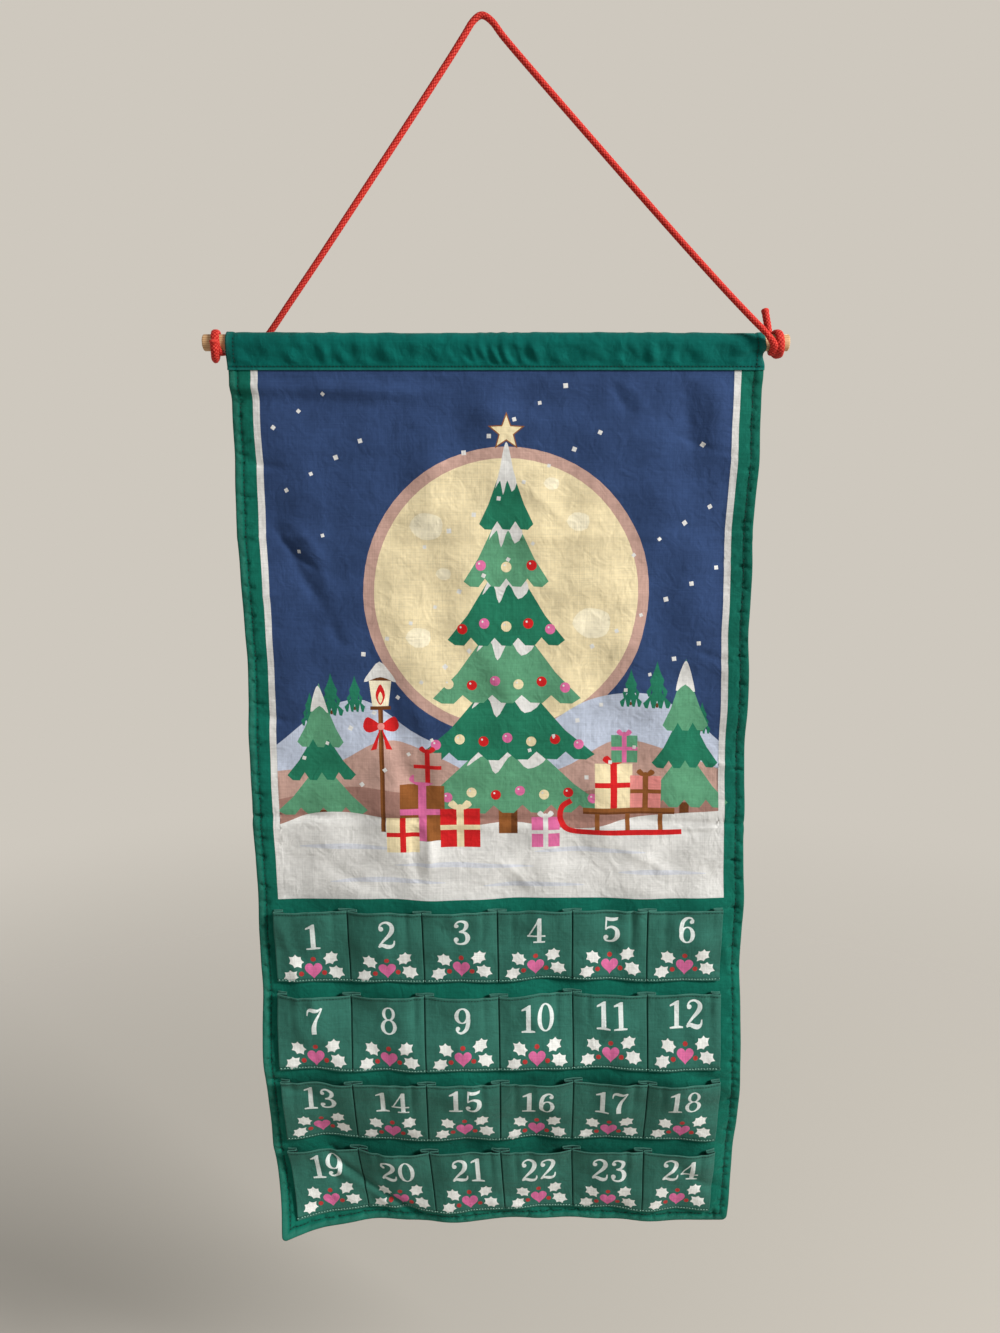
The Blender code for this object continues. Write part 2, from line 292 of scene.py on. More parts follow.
def makeCord(look):
    size = cordSize
    radius = size["diameter"] / 2
    line = evenSteps(strokeLine(cordLine(), size["curveSteps"]), size["step"])
    sides, ups = frameAlong(line)
    rings, around = len(line), size["around"]
    mesh = gridMesh("hangingCord", around, rings - 1)
    flat = readPoints(mesh)
    ring = np.round(flat[:, 1] * (rings - 1)).astype(int)
    turn = flat[:, 0]
    along = ring * size["step"]
    height, strand = strandPattern(turn, along)
    # the cut ends are melted: the braid fades into a rounded blob
    fromEnd = np.minimum(along, (rings - 1) * size["step"] - along)
    melted = 1 - ease(fromEnd, 1.5, 4.0)
    height = height * (1 - melted) + 0.75 * melted
    rounding = np.sqrt(np.clip(1 - (1 - np.clip(fromEnd / 2.0, 0, 1)) ** 2, 0.02, 1))
    loose = 0.35 * ease(along, (rings - 1) * size["step"] - 26, (rings - 1) * size["step"] - 12)
    reach = (radius + size["puffed"] + loose + 0.3 * melted - size["relief"] * (1 - height)) * rounding
    angle = 2 * np.pi * turn
    offset = reach[:, None] * (np.cos(angle)[:, None] * sides[ring] + np.sin(angle)[:, None] * ups[ring])
    offset[:, 0] *= 1 + (size["widened"] - 1) * tiedShare(line)[ring]
    points = line[ring] + offset
    writePoints(mesh, pressed(points) * mm)
    line = pressed(line)
    lightness = 0.5 + 0.32 * np.sin(strand * 2.4) + 0.18 * np.sin(along / 37)
    writeAttribute(mesh, "strandHeight", height)
    writeAttribute(mesh, "strandTone", lightness)
    writeFlatUv(mesh, np.stack([turn * np.pi * size["diameter"], along], axis=1))
    bm = bmesh.new()
    bm.from_mesh(mesh)
    bmesh.ops.remove_doubles(bm, verts=bm.verts, dist=1e-6)
    bmesh.ops.holes_fill(bm, edges=[edge for edge in bm.edges if edge.is_boundary], sides=0)
    bmesh.ops.recalc_face_normals(bm, faces=bm.faces)
    bm.to_mesh(mesh)
    bm.free()
    cord = addPiece("hangingCord", mesh, "hanger", look)
    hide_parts("hanging_cord", "left_hitch", "right_hitch")


# paints, as they look on screen in plain light

paint = {
    "green": (16, 103, 85),
    "sleeve": (3, 94, 85),
    "backing": (18, 100, 81),
    "pocket": (50, 106, 92),
    "navy": (48, 68, 106),
    "snow": (219, 217, 212),
    "drift": (206, 208, 214),
    "farSnow": (188, 196, 212),
    "mauve": (190, 154, 141),
    "mauveDark": (160, 120, 108),
    "cream": (231, 214, 172),
    "creamLight": (240, 229, 198),
    "brown": (138, 84, 42),
    "brownDark": (104, 60, 30),
    "treeLight": (92, 152, 116),
    "treeDark": (36, 116, 88),
    "red": (204, 34, 36),
    "brick": (222, 138, 132),
    "pink": (216, 108, 156),
    "berry": (178, 56, 54),
    "number": (220, 227, 222),
    "leaf": (238, 238, 232),
}
paintNames = list(paint)
paintTable = np.array([linear(paint[name]) for name in paintNames])


# flat shapes for the prints, in millimetres, the second number running down the cloth

def disc(x, y, across, down=None, steps=22):
    down = across if down is None else down
    turn = np.linspace(0, 2 * np.pi, steps, endpoint=False)
    return np.stack([x + across * np.cos(turn), y + down * np.sin(turn)], axis=1)


def block(x0, y0, x1, y1):
    return np.array([(x0, y0), (x1, y0), (x1, y1), (x0, y1)], float)


def roundThrough(points, step=3.0):
    # a closed smooth outline through the points
    points = np.asarray(points, float)
    loop = np.vstack([points[-1], points, points[0], points[1]])
    fine = []
    for a, b, c, d in zip(loop, loop[1:], loop[2:], loop[3:]):
        count = max(2, int(np.linalg.norm(c - b) / step))
        fine += [between(a, b, c, d, t) for t in np.linspace(0, 1, count, endpoint=False)]
    return np.array(fine)


def brushStroke(points, steps=5):
    # a line whose half width is the third number of each point
    line = strokeLine(points, steps)
    along = np.gradient(line[:, :2], axis=0)
    along /= np.linalg.norm(along, axis=1)[:, None]
    side = np.stack([-along[:, 1], along[:, 0]], axis=1) * line[:, 2:3]
    return np.vstack([line[:, :2] + side, (line[:, :2] - side)[::-1]])


def starShape(x, y, reach, points=5):
    turn = np.arange(2 * points) * np.pi / points - np.pi / 2
    radius = np.where(np.arange(2 * points) % 2 == 0, reach, reach * 0.42)
    return np.stack([x + radius * np.cos(turn), y + radius * np.sin(turn)], axis=1)


def heartShape(x, y, wide, high):
    turn = np.linspace(0, 2 * np.pi, 30, endpoint=False)
    across = np.sin(turn) ** 3
    down = -(13 * np.cos(turn) - 5 * np.cos(2 * turn) - 2 * np.cos(3 * turn) - np.cos(4 * turn)) / 15.5
    return np.stack([x + across * wide / 2, y + (down - 0.14) * high / 1.85], axis=1)


hollyTips = ((-1.0, 0.12), (-0.42, 0.72), (0.34, 0.66), (0.98, 0.18), (0.72, -0.52), (0.02, -0.74),
             (-0.64, -0.52))


def hollyLeaf(x, y, reach, degrees, flip=1):
    # spiny tips joined by hollow curves
    angle = math.radians(degrees)
    outline = []
    tips = np.array(hollyTips)
    for tip, following in zip(tips, np.roll(tips, -1, axis=0)):
        for t in (0, 0.25, 0.5, 0.75):
            point = tip * (1 - t) + following * t
            outline.append(point * (1 - 0.8 * t * (1 - t)))
    outline = np.array(outline) * (reach, reach * 1.04 * flip)
    turned = outline @ np.array([[math.cos(angle), math.sin(angle)], [-math.sin(angle), math.cos(angle)]])
    return turned + (x, y)


# day numbers: rings, strokes and dots on a box one unit high, y upwards

figures = {
    "0": {"wide": 0.66, "rings": [(0.33, 0.5, 0.31, 0.5, 0.15, 0.05)]},
    "1": {"wide": 0.58, "plates": [[(0.06, 0), (0.56, 0), (0.56, 0.055), (0.405, 0.085), (0.405, 1.0),
                                    (0.33, 1.0), (0.07, 0.86), (0.07, 0.80), (0.235, 0.84),
                                    (0.235, 0.085), (0.06, 0.055)]]},
    "2": {"wide": 0.68, "dots": [(0.165, 0.73, 0.088)],
          "strokes": [[(0.095, 0.75, 0.03), (0.16, 0.90, 0.035), (0.34, 0.97, 0.04), (0.53, 0.88, 0.07),
                       (0.565, 0.70, 0.085), (0.46, 0.50, 0.07), (0.26, 0.30, 0.045), (0.09, 0.11, 0.03)],
                      [(0.06, 0.05, 0.035), (0.19, 0.115, 0.06), (0.37, 0.06, 0.075), (0.51, 0.055, 0.065),
                       (0.61, 0.13, 0.04), (0.64, 0.28, 0.02)]]},
    "3": {"wide": 0.66, "dots": [(0.165, 0.785, 0.082), (0.145, 0.215, 0.09)],
          "strokes": [[(0.105, 0.80, 0.03), (0.19, 0.93, 0.035), (0.34, 0.965, 0.04), (0.51, 0.87, 0.07),
                       (0.52, 0.71, 0.075), (0.42, 0.58, 0.05), (0.26, 0.53, 0.028)],
                      [(0.26, 0.53, 0.028), (0.46, 0.475, 0.05), (0.57, 0.29, 0.088), (0.50, 0.10, 0.06),
                       (0.33, 0.035, 0.038), (0.16, 0.07, 0.035), (0.08, 0.20, 0.03)]]},
    "4": {"wide": 0.70, "plates": [[(0.385, 0.02), (0.545, 0.02), (0.545, 1.0), (0.44, 1.0), (0.385, 0.93)],
                                   [(0.03, 0.25), (0.69, 0.25), (0.69, 0.315), (0.03, 0.315)],
                                   [(0.03, 0.25), (0.44, 1.0), (0.50, 1.0), (0.115, 0.30)],
                                   [(0.25, 0), (0.68, 0), (0.68, 0.06), (0.25, 0.06)]]},
    "5": {"wide": 0.66, "dots": [(0.15, 0.21, 0.088)],
          "plates": [[(0.13, 1.0), (0.30, 0.965), (0.46, 0.965), (0.60, 1.0), (0.565, 0.88), (0.42, 0.835),
                      (0.28, 0.835), (0.185, 0.86), (0.165, 0.52), (0.115, 0.50)]],
          "strokes": [[(0.135, 0.51, 0.025), (0.23, 0.59, 0.035), (0.38, 0.61, 0.05), (0.54, 0.50, 0.075),
                       (0.56, 0.28, 0.088), (0.45, 0.09, 0.06), (0.29, 0.035, 0.038), (0.14, 0.08, 0.035),
                       (0.08, 0.20, 0.03)]]},
    "6": {"wide": 0.66, "rings": [(0.35, 0.31, 0.29, 0.31, 0.15, 0.05)], "dots": [(0.52, 0.80, 0.08)],
          "strokes": [[(0.585, 0.82, 0.03), (0.50, 0.94, 0.035), (0.36, 0.96, 0.045), (0.20, 0.82, 0.07),
                       (0.135, 0.56, 0.075), (0.14, 0.34, 0.07)]]},
    "7": {"wide": 0.64,
          "strokes": [[(0.055, 0.70, 0.012), (0.085, 0.86, 0.035), (0.18, 0.925, 0.06), (0.31, 0.90, 0.07),
                       (0.45, 0.895, 0.05), (0.585, 0.985, 0.015)],
                      [(0.60, 0.97, 0.02), (0.50, 0.76, 0.035), (0.37, 0.52, 0.055), (0.295, 0.26, 0.085),
                       (0.30, 0.02, 0.088)]]},
    "8": {"wide": 0.66, "rings": [(0.33, 0.745, 0.24, 0.25, 0.115, 0.045),
                                  (0.33, 0.275, 0.30, 0.275, 0.14, 0.05)]},
}
figures["9"] = {"wide": 0.66, "turned": "6"}


def figureShapes(digit, left, base, height):
    # the outlines of one digit, in order of painting
    kind = figures[digit]
    source = figures[kind.get("turned", digit)]
    shapes = []
    for x, y, across, up, thick, thin in source.get("rings", ()):
        shapes.append(["number", disc(x, y, across, up, 30)])
        shapes.append([None, disc(x, y, across - thick, up - thin, 26)])
    for plate in source.get("plates", ()):
        shapes.append(["number", np.array(plate, float)])
    for stroke in source.get("strokes", ()):
        shapes.append(["number", brushStroke(stroke)])
    for x, y, radius in source.get("dots", ()):
        shapes.append(["number", disc(x, y, radius, steps=16)])
    for shape in shapes:
        outline = shape[1]
        if "turned" in kind:
            outline = (0.66, 1.0) - outline
        shape[1] = np.stack([left + outline[:, 0] * height, base - outline[:, 1] * height], axis=1)
    return shapes


def inside(outline, points):
    # which points lie within a closed outline, by counting crossings
    hit = np.zeros(len(points), bool)
    low, high = outline.min(0), outline.max(0)
    near = np.where(((points >= low) & (points <= high)).all(1))[0]
    if not len(near):
        return hit
    x, y = points[near, 0][:, None], points[near, 1][:, None]
    x0, y0 = outline[:, 0], outline[:, 1]
    x1, y1 = np.roll(x0, -1), np.roll(y0, -1)
    # winding number, so that a stroke that overlaps itself stays filled
    side = (x1 - x0) * (y - y0) - (x - x0) * (y1 - y0)
    winding = ((y0 <= y) & (y1 > y) & (side > 0)).sum(1) - ((y0 > y) & (y1 <= y) & (side < 0)).sum(1)
    hit[near] = winding != 0
    return hit


def splitLong(outline, most):
    # extra points along the long sides of a closed outline, so that a print follows the folds
    points = []
    for a, b in zip(outline, np.roll(outline, -1, axis=0)):
        count = max(1, math.ceil(np.linalg.norm(b - a) / most))
        points += [a + (b - a) * k / count for k in range(count)]
    return np.array(points)


def cutCloth(across, down, shapes, ground, extra=()):
    # flat cloth, divided along the edges of its printed shapes: points, triangles and paint numbers
    gridX, gridY = np.meshgrid(across, down)
    points = [np.stack([gridX.ravel(), gridY.ravel()], axis=1)]
    count, edges = len(points[0]), []
    columns, rows = len(across), len(down)
    for k in range(columns - 1):
        edges += [(k, k + 1), ((rows - 1) * columns + k, (rows - 1) * columns + k + 1)]
    for k in range(rows - 1):
        edges += [(k * columns, (k + 1) * columns), ((k + 1) * columns - 1, (k + 2) * columns - 1)]
    low, high = (across[0], down[0]), (across[-1], down[-1])
    if len(extra):
        within = ((extra > np.array(low) + 0.7) & (extra < np.array(high) - 0.7)).all(1)
        points.append(extra[within])
        count += int(within.sum())
    kept = []
    for name, outline in shapes:
        outline = splitLong(np.clip(outline, low, high), 3.2)
        kept.append((name, outline))
        points.append(outline)
        edges += [(count + k, count + (k + 1) % len(outline)) for k in range(len(outline))]
        count += len(outline)
    flat = [Vector(point) for point in np.vstack(points).tolist()]
    result = delaunay_2d_cdt(flat, edges, [], 0, 1e-3, False)
    corners = np.array([tuple(point) for point in result[0]])
    triangles = np.array([face for face in result[2] if len(face) == 3])
    a, b, c = (corners[triangles[:, k]] for k in range(3))
    area = (b[:, 0] - a[:, 0]) * (c[:, 1] - a[:, 1]) - (c[:, 0] - a[:, 0]) * (b[:, 1] - a[:, 1])
    triangles = triangles[np.abs(area) > 1e-5]
    centres = corners[triangles].mean(1)
    paints = np.full(len(triangles), paintNames.index(ground))
    for name, outline in kept:
        paints[inside(outline, centres)] = paintNames.index(name or ground)
    return corners, triangles, paints


def printedMesh(name, corners, triangles, paints, place):
    bm = bmesh.new()
    for x, y in corners:
        bm.verts.new((x, y, 0))
    bm.verts.ensure_lookup_table()
    for a, b, c in triangles.tolist():
        bm.faces.new((bm.verts[a], bm.verts[c], bm.verts[b]))
    mesh = meshOf(name, bm)
    flat = readPoints(mesh)[:, :2]
    colours = mesh.color_attributes.new("printColour", "FLOAT_COLOR", "CORNER")
    table = np.hstack([paintTable, np.ones((len(paintTable), 1))])
    colours.data.foreach_set("color", np.repeat(table[paints], 3, axis=0).astype(np.float32).ravel())
    writeFlatUv(mesh, flat)
    writePoints(mesh, place(flat[:, 0], flat[:, 1]) * mm)
    return mesh


# how the cloth hangs: u runs across the banner from its middle, s down from the top of the sleeve

drapeShape = {
    "foldShares": (0.20, 0.50, 0.701, 0.795, 0.892),
    "foldTurns": (-0.5, -0.4, -14.0, 28.5, -11.5),
    "foldRounding": 9.0,
    "waveDepth": 3.0,
    "waveLength": 210.0,
    "curlDepth": 27.0,
    "curlAlong": 125.0,
    "curlUp": 100.0,
    "narrowAt": (0.04, 0.30, 0.60, 0.80, 0.90, 1.0),
    "narrowBy": (0.0, 0.019, 0.016, 0.028, 0.028, 0.057),
    "shiftBy": (0.0, 0.3, 2.9, 5.6, 6.0, 10.8),
    "foldHeight": 1.6,
    "cornerRounding": 4.5,
}

# soft folds in the hanging cloth, from one end to the other: u, s, u, s, width, depth
creaseLines = (
    (-182, 150, -146, 186, 3.6, 1.7), (-174, 143, -138, 181, 4.6, -1.1), (-170, 164, -143, 216, 5.0, 1.5),
    (-160, 160, -134, 214, 6.0, -0.9), (-138, 226, -127, 250, 5.0, 1.1), (90, 34, 108, 62, 4.0, 1.0),
    (100, 33, 120, 64, 5.0, -0.6), (150, 33, 162, 95, 7.0, 1.3), (168, 34, 178, 92, 8.0, -0.9),
    (136, 73, 198, 95, 3.2, 0.9), (140, 80, 196, 101, 4.0, -0.5), (-92, 276, -66, 388, 7.0, 1.7),
    (-77, 276, -50, 388, 8.0, -1.3), (-64, 391, -60, 442, 4.2, -1.6), (-73, 394, -66, 458, 5.0, 1.1),
    (18, 118, 62, 152, 6.0, -0.7), (-30, 228, 12, 302, 9.0, -0.8), (58, 332, 132, 300, 8.0, 0.8),
    (98, 418, 152, 446, 5.0, -0.9), (-152, 428, -108, 456, 5.0, 0.9), (-4, 428, 30, 457, 5.0, -0.7),
    (166, 250, 207, 262, 3.2, 0.9), (-208, 300, -170, 311, 3.2, 0.9), (-208, 95, -164, 104, 3.2, 0.9),
    (-208, 212, -178, 204, 3.2, -0.8), (178, 181, 208, 171, 3.2, 0.8), (174, 344, 208, 353, 3.2, -0.8),
    (-120, 96, -30, 84, 8.0, 0.7), (30, 208, 150, 190, 10.0, -0.8), (-40, 60, 40, 72, 7.0, -0.6),
    (-208, 396, -150, 388, 3.0, 0.7), (150, 404, 208, 398, 3.0, 0.8), (-196, 470, -178, 560, 5.0, -0.8),
    (188, 480, 204, 600, 5.0, -0.9), (-165, 692, -76, 769, 4.2, 2.6), (-176, 700, -96, 770, 6.0, -1.2),
    (-40, 742, 30, 768, 6.0, -0.9), (60, 768, 130, 744, 6.0, 0.9), (150, 700, 205, 742, 5.0, 1.0),
    (-206, 620, -160, 634, 4.0, 1.0), (150, 612, 206, 622, 4.0, 0.9),
)


def edgeDents():
    # short dents where the stitching draws up the sides and the lower edge
    dents = []
    for side in (-1, 1):
        s, k = 38.0, 0
        while s < bannerLength - 8:
            turn = math.sin(k * 2.4 + side)
            reach = 11.0 + 3.0 * math.sin(k * 1.7 + side)
            dents.append((side * (bannerHalf - 0.4), s, side * (bannerHalf - reach), s + 2.4 * turn,
                          1.6, 1.25 + 0.55 * math.sin(k * 3.1)))
            s += 9.6 + 3.1 * math.sin(k * 1.3 + 2 * side)
            k += 1
    u, k = -200.0, 0
    while u < 204:
        dents.append((u, bannerLength - 0.4, u + 2.2 * math.sin(k * 2.2), bannerLength - 11 - 2 * math.sin(k),
                      1.7, 0.9 + 0.35 * math.sin(k * 2.9)))
        u += 12 + 3.5 * math.sin(k * 1.9)
        k += 1
    return tuple(dents)


creaseLines += edgeDents()
sleeveHeight = 28.7
seamLap = 5.0
rows, rowPockets = 4, 6
pocketHeight = 65.0
rowGap, hemMargin = 9.0, 13.0
leftMargin, rightMargin = 13.4, 18.4
rowTops = tuple(bannerLength - hemMargin - pocketHeight - (rows - 1 - row) * (pocketHeight + rowGap)
                for row in range(rows))


def edgeDistance(u, s):
    return np.minimum(bannerHalf - np.abs(u), bannerLength - s)


def creases(u, s):
    # wrinkles that all the layers share
    shape = drapeShape
    u, s = np.broadcast_arrays(np.asarray(u, float), np.asarray(s, float))
    folds = np.zeros(u.shape)
    for u0, s0, u1, s1, width, depth in creaseLines:
        length = math.hypot(u1 - u0, s1 - s0)
        along = ((u - u0) * (u1 - u0) + (s - s0) * (s1 - s0)) / length / length
        aside = ((u - u0) * (s1 - s0) - (s - s0) * (u1 - u0)) / length
        near = (along > -0.1) & (along < 1.1) & (np.abs(aside) < 3 * width + 0.05 * length)
        if not near.any():
            continue
        along, aside = along[near], aside[near]
        bend = aside + 0.05 * length * np.sin(np.pi * along) * (1 if depth > 0 else -1)
        folds[near] += depth * hump(bend, 0, width) * ease(along, -0.1, 0.3) * ease(1 - along, -0.1, 0.3)
    small = ripples(u, s, ((140, 95, 0.42, 1.0), (-90, 160, 0.34, 2.2), (60, -210, 0.24, 0.4),
                           (47, 330, 0.16, 4.1), (-260, 41, 0.2, 0.9)))
    wave = -1.6 * hump(s, 47 + 0.03 * u, 6) * ease(-u, 10, 90)
    wave += 0.9 * hump(s, 58 + 0.05 * u, 9) * ease(-u, 0, 110)
    wave += -0.8 * hump(s, 39 - 0.04 * u, 5) * ease(u, 40, 150)
    # creases left from when it lay folded
    fold = 1.1 * hump(s, 394.5 + u * 0.014 + 0.6 * np.sin(u / 23), 2.4) - 0.6 * hump(s, 400 + u * 0.014, 4.0)
    fold += -0.6 * hump(s, 158 + 0.8 * np.sin(u / 31 + 1), 3.2)
    return (2.6 * small + 2.4 * wave + shape["foldHeight"] * folds + 1.6 * fold) * ease(s, 30, 44)


def creasePoints():
    # points of cloth along each crease, so that the sharp ones keep their shape
    points = []
    for u0, s0, u1, s1, width, depth in creaseLines:
        length = math.hypot(u1 - u0, s1 - s0)
        for along in np.linspace(0, 1, max(3, round(length / 3.2))):
            bend = -0.05 * length * math.sin(math.pi * along) * (1 if depth > 0 else -1)
            for offset in (-1.3, -0.5, 0.0, 0.5, 1.3):
                aside = (bend + offset * width) / length
                points.append((u0 + (u1 - u0) * along + (s1 - s0) * aside,
                               s0 + (s1 - s0) * along - (u1 - u0) * aside))
    return np.array(points)


def drape(u, s):
    shape = drapeShape
    lean = np.zeros(np.broadcast(u, s).shape)
    for share, turn in zip(shape["foldShares"], shape["foldTurns"]):
        past = (s - share * bannerLength) / shape["foldRounding"]
        lean = lean + math.tan(math.radians(turn)) * shape["foldRounding"] * np.logaddexp(0, past)
    lean = lean + shape["waveDepth"] * ease(s, 40, bannerLength) * np.sin(2 * np.pi * u / shape["waveLength"])
    corner = 1 - (u + bannerHalf) / shape["curlAlong"] - (bannerLength - s) / shape["curlUp"]
    return lean - shape["curlDepth"] * np.maximum(0, corner) ** 2 + creases(u, s)


def clothPlace(u, s, proud):
    shape = drapeShape
    u, s = np.broadcast_arrays(np.asarray(u, float), np.asarray(s, float))
    # the two lower corners are turned with a small round
    near = shape["cornerRounding"]
    a = np.maximum(0, 1 - (bannerHalf - np.abs(u)) / near)
    b = np.maximum(0, 1 - (bannerLength - s) / near)
    keep = 1 - np.maximum(a, b) / np.maximum(np.hypot(a, b), 1e-9)
    u, s = u - np.sign(u) * near * a * keep, s - near * b * keep
    narrow = np.interp(s / bannerLength, shape["narrowAt"], shape["narrowBy"])
    sway = (0.7 * np.sin(s / 33) + 0.45 * np.sin(s / 14.5 + 1)) * ease(np.abs(u), 150, 210) * ease(s, 30, 60)
    lift = 0.6 * np.sin(u / 27) * ease(s, bannerLength - 60, bannerLength)
    lift += 2.4 * ease(u, -120, 200) * hump(s, 540, 110)
    shift = bannerShift + np.interp(s / bannerLength, shape["narrowAt"], shape["shiftBy"])
    return np.stack([shift + u * (1 - narrow) + sway, drape(u, s) - proud, sleeveTop - s + lift], axis=-1)


# a panel's outer surface, as (distance from its edge, distance from the middle of the stack): a rolled
# edge and then the topstitch groove
panelEdge = ((0, 0.45), (0.6, 0.85), (2.0, 1.35), (4.0, 1.55), (5.6, 1.2), (7.0, 0.35), (8.4, 0.95),
             (12.0, 1.0))


def panelProud(u, s):
    return np.interp(edgeDistance(u, s), *zip(*panelEdge))


def frontPlace(u, s):
    return clothPlace(u, s, panelProud(u, s))


def backPlace(u, s):
    return clothPlace(u, s, -panelProud(u, s))


def edgeSteps(start, end, step, fine, reach):
    # even steps, closer together near both ends
    near = np.arange(0, reach, fine)
    middle = np.linspace(start + reach, end - reach, max(2, round((end - start - 2 * reach) / step)))
    return np.concatenate([start + near, middle, end - near[::-1]])


# the printed picture: a plain winter's night with a fir, parcels, a sledge and a lantern

pictureSize = {
    "left": -187.1,
    "right": 187.1,
    "top": 27.0,
    "bottom": 464.0,
    "stripe": 5.5,
    "flake": 2.3,
    "flakes": 64,
}


def firTier(x, top, low, wide, droops, colour):
    half = wide / 2
    left = [(x, top), (x - half * 0.30, top + (low - top) * 0.42),
            (x - half * 0.66, top + (low - top) * 0.76), (x - half, low)]
    hem = []
    for k in range(droops):
        start = x - half + wide * k / droops
        for t, drop in ((0.3, 4.2), (0.7, 4.6), (1.0, -2.2)):
            if k < droops - 1 or t < 1:
                hem.append((start + wide / droops * t, low + drop))
    right = [(2 * x - px, py) for px, py in left[::-1][:-1]]
    return [(colour, np.array(left + hem + right, float))]


# outlines in shares of the size of what they belong to
snowCap = ((-0.26, 0.36), (-0.40, 0.56), (-0.22, 0.46), (-0.12, 0.64), (0.04, 0.46), (0.20, 0.60),
           (0.38, 0.50), (0.26, 0.34))
moonMark = ((-1, 0), (-0.3, -0.8), (1, -0.5), (0.9, 0.6), (-0.2, 0.8))
driftLine = ((-1, 0), (-0.3, -3.2), (0.5, -1.6), (1, 1), (0.2, 1.6))


def tierSnow(x, top, low, wide):
    cap = [(x + wide / 2 * across, top + (low - top) * down) for across, down in snowCap]
    return [("snow", roundThrough([(x, top - 0.5), *cap], 4.0))]


def smallFir(x, foot, high, wide, light="treeLight", dark="treeDark"):
    shapes = [("brownDark", block(x - high * 0.03, foot - high * 0.1, x + high * 0.03, foot))]
    for k, (low, share) in enumerate(((0.10, 1.0), (0.36, 0.76), (0.60, 0.52))):
        shapes += firTier(x, foot - high * (low + 0.42), foot - high * low, wide * share, 4 - k // 2,
                          dark if k % 2 else light)
    return shapes


def parcel(x0, y0, x1, y1, paper, ribbon, bow):
    middle = (x0 + x1) / 2
    band = max(1.6, (x1 - x0) * 0.09)
    shapes = [(paper, block(x0, y0, x1, y1)), (ribbon, block(middle - band, y0, middle + band, y1))]
    shapes.append((ribbon, block(x0, y0 + (y1 - y0) * 0.42, x1, y0 + (y1 - y0) * 0.42 + 1.5 * band)))
    if bow:
        reach = (x1 - x0) * 0.24
        for way in (-1, 1):
            loop = [(middle, y0), (middle + way * reach * 0.7, y0 - reach * 0.9),
                    (middle + way * reach * 1.25, y0 - reach * 0.42), (middle + way * reach * 0.6, y0 + 0.4)]
            shapes.append((ribbon, roundThrough(loop, 2.0)))
        shapes.append((ribbon, disc(middle, y0 - 0.6, band * 1.1, steps=12)))
    return shapes


parcelPlan = (
    # x0, y0, x1, y1, paper, ribbon, with a bow
    (-84, 364, -46, 412, "brown", "pink", True), (-50, 384, -16, 418, "red", "cream", True),
    (-72, 336, -48, 362, "mauve", "red", True), (-96, 392, -68, 422, "cream", "red", False),
    (28, 392, 52, 418, "pink", "snow", True), (82, 346, 114, 384, "cream", "red", True),
    (112, 356, 138, 384, "brick", "brown", True), (96, 322, 118, 345, "treeLight", "pink", True),
)


